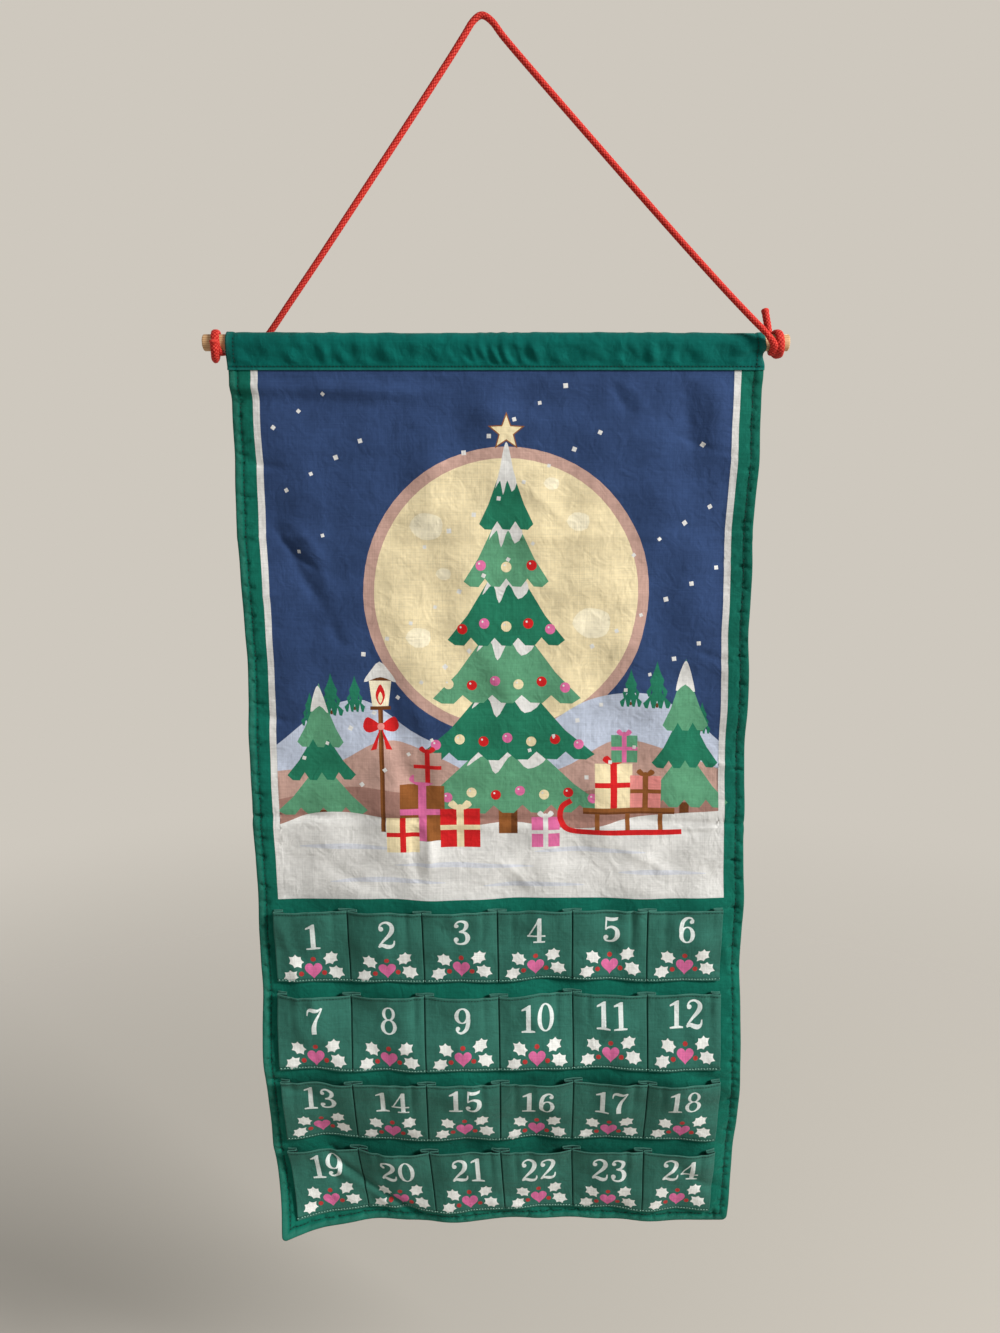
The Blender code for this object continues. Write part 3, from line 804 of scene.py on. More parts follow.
def nightShapes():
    size = pictureSize
    left, right, top, bottom = (size[key] for key in ("left", "right", "top", "bottom"))
    shapes = [("navy", block(left, top, right, bottom))]
    # full moon behind the fir
    shapes += [("mauve", disc(8, 205, 118, 118, 64)), ("cream", disc(8, 205, 109, 109, 64))]
    for x, y, r in ((-58, 150, 13), (66, 146, 9), (78, 228, 15), (-66, 240, 10), (-44, 188, 6), (44, 116, 6)):
        mark = [(x + r * across, y + r * down) for across, down in moonMark]
        shapes.append(("creamLight", roundThrough(mark, 4.0)))
    # three lines of hills
    hills = (
        ("farSnow", ((-187, 330), (-150, 302), (-112, 292), (-66, 322), (-20, 334), (30, 318), (76, 292),
                     (124, 286), (160, 304), (187, 326))),
        ("mauve", ((-187, 352), (-140, 346), (-96, 326), (-50, 340), (0, 362), (54, 350), (100, 326),
                   (146, 334), (187, 350))),
        ("mauveDark", ((-187, 376), (-130, 366), (-70, 372), (-10, 380), (60, 372), (120, 360), (187, 372))),
    )
    for k, (colour, crest) in enumerate(hills):
        line = strokeLine(crest, 6)
        line = np.vstack([line, (right, bottom), (left, bottom)])
        shapes.append((colour, line))
        if k == 0:
            for x, foot, high in ((-158, 312, 26), (-140, 304, 34), (-120, 300, 28), (112, 296, 30),
                                  (134, 298, 38), (156, 308, 30), (172, 318, 24)):
                shapes += smallFir(x, foot, high, high * 0.62, "treeDark", "treeDark")
    shapes += smallFir(-150, 398, 118, 76)
    shapes += smallFir(158, 392, 132, 74)
    shapes += [("snow", roundThrough(((-151, 280), (-158, 302), (-150, 297), (-143, 303)), 3.0)),
               ("snow", roundThrough(((158, 259), (150, 284), (158, 279), (166, 285)), 3.0))]
    # snow bank that everything stands on
    bank = strokeLine(((left, 398), (-150, 388), (-100, 392), (-40, 400), (10, 396), (70, 402), (120, 392),
                       (right, 386)), 6)
    shapes.append(("snow", np.vstack([bank, (right, bottom), (left, bottom)])))
    for x, y, wide in ((-128, 418, 44), (-30, 434, 60), (78, 422, 48), (140, 441, 38), (-96, 448, 50),
                       (30, 452, 44)):
        drift = [(x + wide * across, y + down) for across, down in driftLine]
        shapes.append(("drift", roundThrough(drift, 6.0)))
    # the fir in the middle
    shapes += [("brown", block(0, 372, 16, 406)), ("brownDark", block(10.5, 372, 16, 406))]
    tiers = ((300, 384, 172, 7), (250, 338, 148, 6), (202, 290, 124, 5), (158, 242, 98, 5), (118, 194, 70, 4),
             (84, 148, 44, 3))
    for k, (high, low, wide, droops) in enumerate(tiers):
        shapes += firTier(8, high, low, wide, droops, "treeDark" if k % 2 else "treeLight")
        shapes += tierSnow(8, high, low, wide)
    for k, (high, low, wide, _) in enumerate(tiers[:5]):
        y = low - 9
        count = max(3, round(wide / 21))
        for j in range(count):
            x = 8 + (j - (count - 1) / 2) * wide / (count + 0.35)
            hang = y - 5.5 * math.cos((x - 8) / wide * 2.6) + (3 if (j + k) % 2 else 0)
            shapes.append((("red", "pink", "cream")[(j + k) % 3], disc(x, hang, 4.3, steps=16)))
            shapes.append(("snow", disc(x - 1.3, hang - 1.5, 0.9, steps=8)))
    shapes += [("brown", starShape(8, 76, 15.5)), ("cream", starShape(8, 76, 13))]
    # lantern on a post, with a bow
    shapes += [("brownDark", block(-100.5, 296, -96.5, 404)), ("brown", block(-100.5, 296, -98.5, 404)),
               ("brownDark", np.array([(-111, 276), (-98.5, 262), (-86, 276)], float)),
               ("snow", roundThrough(((-112, 277), (-105, 266), (-98.5, 260), (-92, 266), (-85, 277),
                                      (-98, 273)), 3.0)),
               ("creamLight", np.array([(-108, 276), (-89, 276), (-92, 298), (-105, 298)], float)),
               ("red", roundThrough(((-98.5, 296), (-102.5, 288), (-98.5, 279), (-94.5, 288)), 2.0)),
               ("cream", roundThrough(((-98.5, 295), (-100.5, 290), (-98.5, 285), (-96.5, 290)), 2.0)),
               ("brownDark", block(-107, 297, -90, 300))]
    for way in (-1, 1):
        shapes.append(("red", roundThrough(((-98.5, 314), (-98.5 + way * 11, 306), (-98.5 + way * 15, 314),
                                           (-98.5 + way * 10, 319)), 2.0)))
        shapes.append(("red", np.array([(-98.5, 314), (-98.5 + way * 9, 334), (-98.5 + way * 4, 333)])))
    shapes.append(("brick", disc(-98.5, 314, 3, steps=12)))
    for x0, y0, x1, y1, paper, ribbon, bow in parcelPlan:
        shapes += parcel(x0, y0, x1, y1, paper, ribbon, bow)
    # the sledge under the last three
    shapes += [("brown", block(72, 384, 150, 389.5)), ("brownDark", block(72, 387.6, 150, 389.5))]
    for x in (84, 110, 138):
        shapes.append(("brown", block(x - 2, 389, x + 2, 404)))
    shapes.append(("red", brushStroke(((62, 378, 2.4), (54, 384, 2.4), (53, 395, 2.4), (62, 404, 2.4),
                                       (90, 405.5, 2.4), (130, 405.5, 2.4), (156, 404.5, 2.2)))))
    shapes += flakeShapes()
    return shapes


def flakeShapes():
    # small square flakes, scattered by a golden-ratio walk so that they never line up
    size = pictureSize
    wide, high = size["right"] - size["left"], 330.0
    shapes = []
    for k in range(size["flakes"]):
        x = size["left"] + 6 + (wide - 12) * ((k * 0.6180339 + 0.11) % 1)
        y = size["top"] + 8 + high * ((k * 0.7548777 + 0.37) % 1)
        angle = 0.5 + 1.9 * ((k * 0.37) % 1)
        turn = angle + np.arange(4) * np.pi / 2
        reach = size["flake"] * (0.8 + 0.35 * ((k * 0.53) % 1))
        shapes.append(("snow", np.stack([x + reach * np.cos(turn), y + reach * np.sin(turn)], axis=1)))
    return shapes


def frontShapes():
    size = pictureSize
    stripe = size["stripe"]
    shapes = [("snow", block(size["left"] - stripe, size["top"], size["right"] + stripe, size["bottom"]))]
    shapes += nightShapes()
    # the snow at the foot of the picture runs out into the white stripes
    shapes.append(("snow", block(size["left"] - stripe, size["top"], size["left"], size["bottom"])))
    shapes.append(("snow", block(size["right"], size["top"], size["right"] + stripe, size["bottom"])))
    return shapes


# the sheets of cloth

panelCloth = {
    "top": sleeveHeight - seamLap,
    "thickness": 0.4,
    "step": 3.9,
    "rowStep": 3.3,
    "edgeStep": 1.2,
    "edgeReach": 13.2,
}


def thicken(piece, thickness, offset=-1):
    wall = piece.modifiers.new("clothThickness", "SOLIDIFY")
    wall.thickness = thickness * mm
    wall.offset = offset
    wall.use_even_offset = False


def wearAndShadeAtEdges(mesh, away, paintedShade=0):
    # how worn the cloth is, most on the stitched ridge; and painted shade, darkest down in the stitched
    # groove
    away = np.asarray(away)
    writeAttribute(mesh, "wearAndShade", hump(away, 3.2, 2.6) - 2.8 * hump(away, 7.0, 0.95) - paintedShade)


def panelMesh(name, shapes, ground, place):
    size = panelCloth
    across = edgeSteps(-bannerHalf, bannerHalf, size["step"], size["edgeStep"], size["edgeReach"])
    down = edgeSteps(size["top"], bannerLength, size["rowStep"], size["edgeStep"], size["edgeReach"])
    corners, triangles, paints = cutCloth(across, down, shapes, ground, creasePoints())
    return printedMesh(name, corners, triangles, paints, place), corners, paints


def makeFrontPanel(look):
    size = panelCloth
    mesh, corners, paints = panelMesh("frontPanel", frontShapes(), "green", frontPlace)
    # painted shade: the right side is darker where it lies turned from the light, its upper part as far as
    # the stripe, and its folded hem
    u, s = corners[:, 0], corners[:, 1]
    paintedShade = 1.2 * ease(u, 184.5, 187) * (1 - ease(s, 320, 440)) + 1.2 * ease(u, 203.2, 205.2)
    wearAndShadeAtEdges(mesh, edgeDistance(u, s), paintedShade)
    panel = addPiece("frontPanel", mesh, "banner", look)
    thicken(panel, size["thickness"])
    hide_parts("front_panel")
    print(f"front panel: {len(paints)} triangles, {len(set(paints.tolist()))} paints")


def makeBackingPanel(look):
    size = panelCloth
    mesh, corners, _ = panelMesh("backingPanel", [], "backing", backPlace)
    mesh.flip_normals()
    wearAndShadeAtEdges(mesh, edgeDistance(corners[:, 0], corners[:, 1]))
    panel = addPiece("backingPanel", mesh, "banner", look)
    thicken(panel, size["thickness"])
    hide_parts("backing_panel")


# the sleeve that the dowel runs in

sleeveCloth = {
    "thickness": 0.45,
    "wall": 0.8,
    "lip": 1.65,  # from the middle of the cloth stack to the lips at the seam
    "step": 0.5,  # along the casing's line
    "columns": 320,
    "rows": 96,
    "wrinkle": 2.1,
    "pullIn": 1.5,  # how far the top of its right end is drawn in
    "endHem": 6.0,
}


def sleeveLine():
    # the middle line of the casing in (y, z) from the dowel's axis, up the back and down the front
    size = sleeveCloth
    radius = sleeveRadius - size["wall"] / 2
    lip = size["lip"]
    low = sleeveRadius - sleeveHeight
    lipTop = low + seamLap + size["wall"]
    start = math.atan2(lipTop, lip) + math.acos(radius / math.hypot(lip, lipTop))
    angles = np.linspace(start, math.pi - start, 25)
    arc = np.stack([radius * np.cos(angles), radius * np.sin(angles)], axis=1)
    line = np.vstack([(lip, low), (lip, lipTop), arc, (-lip, lipTop), (-lip, low)])
    return evenSteps(roundCorners(line, 0.22, 2), size["step"])


def sleevePlace(u, share):
    # share runs from 0 at the back seam to 1 at the front seam
    size = sleeveCloth
    line = sleeveLine()
    at = share * (len(line) - 1)
    y, z = (np.interp(at, np.arange(len(line)), line[:, k]) for k in range(2))
    slope = np.gradient(line, axis=0)
    slope /= np.linalg.norm(slope, axis=1)[:, None]
    outY = np.interp(at, np.arange(len(line)), slope[:, 1])
    outZ = -np.interp(at, np.arange(len(line)), slope[:, 0])
    flank = ease(share, 0.03, 0.13) * ease(-share, -0.97, -0.87)
    top = hump(share, 0.5, 0.22)
    fromEnd = bannerHalf - np.abs(u)
    # drag lines that lean towards the tied ends, about 13 mm apart
    down = np.abs(share - 0.5) * 62
    lean = u + (0.4 * np.tanh(u / 70) - 0.28) * down + 3.5 * np.sin(down / 9 + u / 60)
    phase = lean / 14.6 + 0.9 * np.sin(lean / 47) + 0.5 * np.sin(lean / 21 + 1)
    drag = 0.55 + 0.45 * np.cos(2 * np.pi * phase) - 0.35 * np.abs(np.cos(np.pi * phase * 0.47 + 0.4)) ** 0.5
    drag = drag * (0.6 + 0.4 * np.sin(u / 23 + 0.8 + np.sin(u / 61)))
    drag = drag + 0.5 * ripples(u, down, ((23, 57, 0.5, 4.4), (41, -19, 0.5, 2)))
    # free to wrinkle below the dowel, and stretched round it above
    free = ease(-z, -1.5, 7.5)
    bump = size["wrinkle"] * flank * (np.maximum(drag, -0.1) * free + 0.3 * np.maximum(drag, 0) * (1 - free))
    bump = bump * (1 - 0.85 * ease(u, bannerHalf - 28, bannerHalf - 12) * ease(z, -7.0, 1.0))
    bump = bump + 0.55 * ease(-fromEnd, -size["endHem"] - 0.8, -size["endHem"] + 0.2)
    bump = bump - 0.4 * hump(fromEnd, size["endHem"], 0.9)
    seamed = np.minimum(share, 1 - share) * (len(line) - 1) * size["step"]
    bump = bump + 0.35 * hump(seamed, 0.4, 1.0) - 0.35 * hump(seamed, 2.6, 0.8)
    y = y + outY * bump
    z = z + outZ * bump + 0.3 * np.sin(u / 41) * top
    # pressed flat in front, below the dowel, where the cord lies against it when the banner swings up
    pinch = ease(u, bannerHalf - 15, bannerHalf - 6) * ease(-z, 4.6, 8.4) * ease(share, 0.5, 0.56)
    pull = size["pullIn"] * ease(u, bannerHalf - 26, bannerHalf) * ease(z, -7.5, 7.0)
    x = u - pull + 0.5 * np.sin(share * 9) * ease(-fromEnd, -20, 0) * np.sign(u)
    x = x + 0.9 * ease(-u, bannerHalf - 12, bannerHalf) * ease(y, 1.5, 4.5)
    x = x - 1.9 * pinch * hump(z, -10.5, 4.6) * ease(u, bannerHalf - 7, bannerHalf)
    y = y - pinch * np.minimum(y + 1.8, 0)
    return np.stack([x, y, z], axis=-1) + rodCentre


def makeSleeve(look):
    size = sleeveCloth
    mesh = gridMesh("rodSleeve", size["columns"], size["rows"])
    flat = readPoints(mesh)
    u = (flat[:, 0] - 0.5) * bannerWidth
    girth = len(sleeveLine()) * size["step"]
    writeFlatUv(mesh, np.stack([u, flat[:, 1] * girth], axis=1))
    writePoints(mesh, sleevePlace(u, flat[:, 1]) * mm)
    mesh.flip_normals()
    edge = np.minimum(bannerHalf - np.abs(u), 99)
    # paler at the ends, along the top over the dowel and at the folded seams; painted shade darkens the
    # stitch grooves of the end hems and the seam
    wearAndShade = np.exp(-((edge - 1) / 2.5) ** 2) + 0.8 * hump(flat[:, 1], 0.5, 0.05)
    wearAndShade = wearAndShade + 0.8 * np.minimum(1, hump(flat[:, 1], 0, 0.025) + hump(flat[:, 1], 1, 0.025))
    seamed = np.minimum(flat[:, 1], 1 - flat[:, 1]) * girth
    wearAndShade = np.clip(wearAndShade, 0, 1) - 2.0 * hump(edge, size["endHem"], 0.9) - 2.0 * hump(seamed, 2.6, 0.8)
    writeAttribute(mesh, "wearAndShade", wearAndShade)
    sleeve = addPiece("rodSleeve", mesh, "banner", look)
    thicken(sleeve, size["thickness"], 0)
    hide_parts("rod_sleeve")
    print(f"sleeve: cut {bannerWidth:.0f} by {girth:.0f} mm")


# the dowel

dowelShape = {
    "overhang": 18.5,
    "endRounding": 1.1,
    "sides": 72,
}


def makeDowel(look):
    size = dowelShape
    length = bannerWidth + 2 * size["overhang"]
    bm = bmesh.new()
    bmesh.ops.create_circle(bm, cap_ends=True, segments=size["sides"], radius=dowelRadius)
    top = bmesh.ops.extrude_face_region(bm, geom=bm.faces[:])
    moved = [item for item in top["geom"] if isinstance(item, bmesh.types.BMVert)]
    bmesh.ops.translate(bm, verts=moved, vec=(0, 0, length))
    ends = [edge for edge in bm.edges if abs(edge.verts[0].co.z - edge.verts[1].co.z) < 1e-6]
    bmesh.ops.bevel(bm, geom=ends, offset=size["endRounding"], offset_type="OFFSET", segments=4,
                    profile=0.5, affect="EDGES", material=-1)
    caps = [face for face in bm.faces if len(face.verts) > 8]
    for inset in (1.5, 1.6):
        bmesh.ops.inset_region(bm, faces=caps, thickness=inset, depth=0)
    around = [edge for edge in bm.edges if abs(edge.verts[0].co.z - edge.verts[1].co.z) > 50]
    bmesh.ops.subdivide_edges(bm, edges=around, cuts=110, use_grid_fill=True)
    for vert in bm.verts:
        # a hair out of round, with soft dents from handling and slightly uneven end faces
        along, angle = vert.co.z, math.atan2(vert.co.y, vert.co.x)
        change = 1 + 0.006 * math.sin(3 * angle + along / 61) + 0.004 * math.sin(5 * angle - along / 23)
        if along < 0.01 or along > length - 0.01:
            vert.co.z += 0.12 * math.sin(vert.co.x * 1.7) + 0.1 * math.cos(vert.co.y * 2.1)
        vert.co.x *= change
        vert.co.y *= change
    bmesh.ops.translate(bm, verts=bm.verts, vec=(0, 0, -length / 2))
    bmesh.ops.rotate(bm, verts=bm.verts, cent=(0, 0, 0), matrix=Matrix.Rotation(math.radians(90), 3, "Y"))
    bmesh.ops.translate(bm, verts=bm.verts, vec=rodCentre.tolist())
    bmesh.ops.scale(bm, verts=bm.verts, vec=(mm, mm, mm))
    bmesh.ops.recalc_face_normals(bm, faces=bm.faces)
    dowel = addPiece("dowelRod", meshOf("dowel", bm), "rod", look)
    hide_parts("dowel")


# the pocket rows: one pleated strip each, printed before it is pleated

pocketCloth = {
    "left": leftMargin - bannerHalf,
    "pitch": (bannerWidth - leftMargin - rightMargin) / rowPockets,
    "height": pocketHeight,
    "pleat": 8.0,
    "mouthGap": 1.3,
    "ease": 2.4,
    "mouthDepth": 11.0,
    "layer": 1.1,
    "seat": 1.65,
    "thickness": 0.55,
    "hem": 2.3,
    "numberHeight": 23.5,
    "numberBase": 0.478,  # share of the height, down from the mouth
    # how far down each pocket's print lies
    "printDown": ((3.8, 0.4, -1.1, -1.3, -1.3, -2.3), (1.1, 0.5, -0.2, 0.6, -1.8, -2.3),
                  (-1.7, 0.4, -2.7, 2.0, 0.9, -1.0), (-2.1, 0.6, -0.1, 0.6, 0.7, -1.4)),
    # how far each mouth stands open
    "bulge": ((1.2, 1.0, 0.5, 0.6, 0.6, 0.3), (1.3, 1.1, 0.9, 1.1, 0.4, 0.2),
              (0.0, 0.7, 0.0, 1.3, 0.9, 0.6), (0.6, 1.2, 0.9, 1.2, 1.2, 0.7)),
    # an upright fold in each pocket: share across, depth
    "dips": (
        ((0.80, 0.5), (0.78, 0.9), (0.81, 0.7), (0.20, 0.6), (0.80, 1.7), (0.25, 0.6)),
        ((0.20, 0.6), (0.86, 1.1), (0.80, 0.7), (0.78, 0.8), (0.20, 0.6), (0.85, 0.8)),
        ((0.16, 0.7), (0.80, 1.0), (0.75, 0.8), (0.20, 0.7), (0.82, 0.9), (0.20, 0.6)),
        ((0.62, 0.8), (0.28, 0.9), (0.85, 1.0), (0.20, 0.8), (0.76, 0.9), (0.80, 0.6)),
    ),
    "step": 2.3,
    "digitGap": 0.05,  # share of a digit's height
    "heartBase": 0.825,  # share of the height, down from the mouth
    "heart": (15.0, 14.4),
    "berry": 2.2,
    "berries": ((0.4, -10.6), (-10.2, 2.2), (9.6, 1.6)),
    # from the heart across and down, reach, degrees turned, turned over or not
    "leaves": ((-14.2, -9.0, 7.5, 44, 1), (-19.4, 4.4, 7.4, -30, -1), (15.6, -11.4, 7.5, 140, -1),
               (20.0, 1.4, 7.9, 208, 1)),
}


def halfPocket():
    # distance from the divider, layers under it at the seam, share of the mouth's depth
    size = pocketCloth
    fold = size["mouthGap"] / 2
    return ((0, 0, 0.0), (size["pleat"], 0, 0.09), (size["pleat"], 1, 0.31), (fold, 1, 0.38), (fold, 2, 0.58),
            (size["pleat"] + size["ease"], 2, 0.78), (size["pitch"] / 2, 0, 1.0))


def pleatedLine():
    # x, layers and depth share along a whole row, with rounded folds
    size = pocketCloth
    points = []
    for pocket in range(rowPockets):
        start = size["left"] + pocket * size["pitch"]
        half = halfPocket()
        points += [(start + away, layers, share) for away, layers, share in half]
        points += [(start + size["pitch"] - away, layers, share) for away, layers, share in half[-2:0:-1]]
    points.append((size["left"] + rowPockets * size["pitch"], 0, 0.0))
    line = np.array(points, float)
    # points near both ends of each long run, so that only the last part before a fold is rounded
    full = [line[0]]
    for a, b in zip(line, line[1:]):
        run = abs(b[0] - a[0])
        if run > 4:
            full += [a + (b - a) / run, a + (b - a) * 0.33, a + (b - a) * 0.67, b - (b - a) / run]
        full.append(b)
    return roundCorners(np.array(full), 0.25, 3)


def stripFlat():
    # the flat distance along the strip at each point of the pleated line, taken half way up
    size = pocketCloth
    line = pleatedLine()
    proud = size["layer"] * line[:, 1] * 0.5 + size["mouthDepth"] * line[:, 2] * 0.5
    run = np.hypot(np.diff(line[:, 0]), np.diff(proud))
    return line, np.concatenate([[0], np.cumsum(run)])


def stripPlace(row, flatX, flatY):
    size = pocketCloth
    line, flat = stripFlat()
    x, layers, share = (np.interp(flatX, flat, line[:, k]) for k in range(3))
    height = 1 - flatY / size["height"]
    centres = size["left"] + size["pitch"] * (np.arange(rowPockets) + 0.5)
    share = share + np.clip(share - 0.58, 0, 1) * (np.interp(x, centres, size["bulge"][row]) - 1)
    proud = size["seat"] + layers * size["layer"] * (1 - height) + size["mouthDepth"] * share * height
    # slack cloth between the pleats, the doubled hem and small creases, each row its own
    belly = ease(np.interp(flatX, flat, line[:, 2]), 0.75, 1.0)
    slack = 1.1 * np.sin(np.pi * np.clip(height, 0, 1)) * belly
    crumple = ripples(x + row * 71, flatY, ((38, 62, 0.46, 0.7 + row), (-57, 34, 0.40, 2.1 + row),
                                            (23, -88, 0.26, 1.3 * row), (110, 25, 0.36, 3.0 + row),
                                            (-19, 47, 0.16, 0.4 * row)))
    crumple = crumple + 0.5 - 0.9 * np.abs(np.sin(np.pi * (x + 0.5 * flatY) / 41 + row)) ** 0.7
    loose = ease(height, 0.04, 0.5) * (0.35 + 0.65 * belly)
    hem = 0.45 * ease(-flatY, -size["hem"] - 0.5, -size["hem"] + 0.1) - 0.35 * hump(flatY, size["hem"], 0.7)
    seam = -0.3 * hump(flatY, size["height"] - 2.2, 0.9)
    turn = (x - size["left"]) * 2 * np.pi / size["pitch"] + np.pi
    sag = -1.5 * ease(height, 0.55, 1.0) * belly * np.cos(turn)
    wobble = 0.6 * np.sin(x / 19 + row * 2) + 0.4 * np.sin(x / 7.3 + row)
    proud = proud + slack + crumple * loose + hem + seam + pocketDips(row, x) * ease(height, 0.2, 0.85)
    s = rowTops[row] + flatY + wobble * ease(height, 0.5, 1.0) * 0.8
    s = s + (1.0 + sag) * 0.5 * ease(height, 0.7, 1.0)
    return clothPlace(x, s, proud)


def pocketDips(row, x):
    size = pocketCloth
    depth = np.zeros_like(x)
    for pocket, (share, deep) in enumerate(size["dips"][row]):
        at = size["left"] + size["pitch"] * (pocket + share)
        depth += deep * (0.45 * hump(x, at - 7.5, 4.2) - hump(x, at, 3.0) + 0.45 * hump(x, at + 6.5, 3.4))
    return depth


def pocketShapes(row):
    size = pocketCloth
    _, flat = stripFlat()
    shapes = []
    for pocket in range(rowPockets):
        day = str(row * rowPockets + pocket + 1)
        middle = flat[-1] * (pocket + 0.5) / rowPockets
        down = size["printDown"][row][pocket]
        high = size["numberHeight"]
        wide = sum(figures[digit]["wide"] for digit in day) + size["digitGap"] * (len(day) - 1)
        x = middle + 1.0 - wide * high / 2
        for digit in day:
            shapes += figureShapes(digit, x, size["height"] * size["numberBase"] + down, high)
            x += (figures[digit]["wide"] + size["digitGap"]) * high
        y = size["height"] * size["heartBase"] + min(down * 0.8, 1.5)
        for dx, dy, reach, degrees, flip in size["leaves"]:
            shapes.append(("leaf", hollyLeaf(middle + dx, y + dy, reach, degrees, flip)))
        for dx, dy in size["berries"]:
            shapes.append(("berry", disc(middle + dx, y + dy, size["berry"], steps=14)))
        shapes.append(("pink", heartShape(middle + 0.4, y, *size["heart"])))
    return shapes


def makePocketStrip(row, look):
    size = pocketCloth
    line, flat = stripFlat()
    keep = [0.0]
    for value in flat[1:-1]:
        if value - keep[-1] >= 0.42 and flat[-1] - value > 0.3:
            keep.append(value)
    across = [0.0]
    for value in [*keep[1:], flat[-1]]:
        count = max(1, math.ceil((value - across[-1]) / size["step"]))
        across += [across[-1] + (value - across[-1]) * k / count for k in range(1, count)] + [value]
    across = np.array(across)
    down = edgeSteps(0, size["height"], size["step"], 0.8, 5.6)
    corners, triangles, paints = cutCloth(across, down, pocketShapes(row), "pocket")
    mesh = printedMesh(f"pocketStrip{row + 1}", corners, triangles, paints,
                       lambda x, y: stripPlace(row, x, y))
    share = np.interp(corners[:, 0], flat, line[:, 2])
    # paler along the pleat folds, the mouth and the foot; painted shade in the hem's stitch groove
    fold = hump(share, 0.48, 0.1) * 0.7
    wearAndShade = fold + hump(corners[:, 1], 0, 0.9) + hump(corners[:, 1], size["height"], 0.9) * 0.8
    wearAndShade = np.clip(wearAndShade, 0, 1) - 0.9 * hump(corners[:, 1], size["hem"], 0.7)
    # painted shade, darker down inside the pleats
    wearAndShade = wearAndShade - 3.0 * ease(share, 0.06, 0.14) * ease(-share, -0.60, -0.50) * ease(corners[:, 1], 0.5, 2.2)
    # painted shade in the groove by the foot seam
    writeAttribute(mesh, "wearAndShade", wearAndShade - 2.2 * hump(corners[:, 1], size["height"] - 1.7, 0.9))
    strip = addPiece(f"pocketStrip{row + 1}", mesh, "banner", look)
    thicken(strip, size["thickness"], 0)
    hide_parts(*[f"pocket_strip_{row + 1}_{side}" for side in ("left", "right")])
    if row == 0:
        print(f"pocket strip: cut {flat[-1]:.0f} by {size['height']:.0f} mm, {len(triangles)} triangles each")


# sewing: small rounded stitches set along tracks on the cloth

stitchForm = {
    "edge": {"pitch": 3.4, "length": 2.6, "thick": 0.85},
    "hem": {"pitch": 2.6, "length": 1.7, "thick": 0.85},
    "foot": {"pitch": 2.5, "length": 1.9, "thick": 0.78},
    "sleeve": {"pitch": 2.9, "length": 2.2, "thick": 0.7},
}


def sewRow(bm, place, track, form, facing=-1, slant=0.0, sunk=0.12):
    # place(a, b) gives points on the cloth, track is a line of (a, b) pairs
    track = np.asarray(track, float)
    fine = np.vstack([a + (b - a) * np.linspace(0, 1, 60, endpoint=False)[:, None]
                      for a, b in zip(track, track[1:])] + [track[-1:]])
    points = place(fine[:, 0], fine[:, 1])
    along = np.concatenate([[0], np.cumsum(np.linalg.norm(np.diff(points, axis=0), axis=1))])
    at = np.arange(form["pitch"], along[-1] - form["pitch"] / 2, form["pitch"])
    a, b = (np.interp(at, along, fine[:, k]) for k in range(2))
    middle = place(a, b)
    aheadA, aheadB = (np.interp(at + 0.4, along, fine[:, k]) for k in range(2))
    ahead = place(aheadA, aheadB) - middle
    acrossA = place(a + 0.3, b) - middle
    acrossB = place(a, b + 0.004) - middle
    normals = np.cross(acrossA, acrossB)
    normals /= np.linalg.norm(normals, axis=1)[:, None] + 1e-12
    seed = bmesh.new()
    bmesh.ops.create_icosphere(seed, subdivisions=1, radius=0.5)
    bmesh.ops.scale(seed, verts=seed.verts, vec=(form["length"], form["thick"] * 1.15, form["thick"]))
    stitch = meshOf("oneStitch", seed)
    for k in range(len(at)):
        normal = Vector(normals[k])
        if facing and normal.y * facing < 0:
            normal = -normal
        ahead3 = Vector(ahead[k])
        ahead3 = (ahead3 - normal * ahead3.dot(normal)).normalized()
        if slant:
            ahead3 = Matrix.Rotation(math.radians(slant if k % 2 else -slant), 3, normal) @ ahead3
        side = normal.cross(ahead3)
        turn = Matrix((ahead3, side, normal)).transposed().to_4x4()
        spot = Matrix.Translation((Vector(middle[k]) + normal * form["thick"] * sunk) * mm)
        move = spot @ Matrix.Scale(mm, 4) @ turn
        stitch.transform(move)
        bm.from_mesh(stitch)
        stitch.transform(move.inverted())
    bpy.data.meshes.remove(stitch)


def sewnPiece(name, bm, look):
    return addPiece(name, meshOf(name, bm), "banner", look)


def sewPanelEdges(looks):
    inset = 7.0
    half, low = bannerHalf - inset, bannerLength - inset
    track = [(-half, 31.0)] + [(-half, s) for s in np.linspace(60, low, 14)]
    track += [(u, low) for u in np.linspace(-half, half, 10)[1:]]
    track += [(half, s) for s in np.linspace(low, 31, 15)[1:]]
    for name, place, facing, slot in (("frontEdgeStitch", frontPlace, -1, "printed_cotton"),
                                      ("backEdgeStitch", backPlace, 1, "backing_cotton")):
        bm = bmesh.new()
        sewRow(bm, place, track, stitchForm["edge"], facing)
        sewnPiece(name, bm, looks["darkThread"])


def sewPockets(looks):
    _, flat = stripFlat()
    hem, foot = bmesh.new(), bmesh.new()
    for row in range(rows):
        def outer(x, y, row=row):
            return stripPlace(row, x, y) + (0, -pocketCloth["thickness"] / 2, 0)

        sewRow(hem, outer, [(flat[0] + 0.5, pocketCloth["hem"]), (flat[-1] - 0.5, pocketCloth["hem"])],
               stitchForm["hem"], 0)
        sewRow(foot, outer, [(flat[0] + 0.5, pocketCloth["height"] - 1.5),
                             (flat[-1] - 0.5, pocketCloth["height"] - 1.5)], stitchForm["foot"], 0, slant=24)
    sewnPiece("pocketHemStitch", hem, looks["darkThread"])
    sewnPiece("pocketFootStitch", foot, looks["paleThread"])


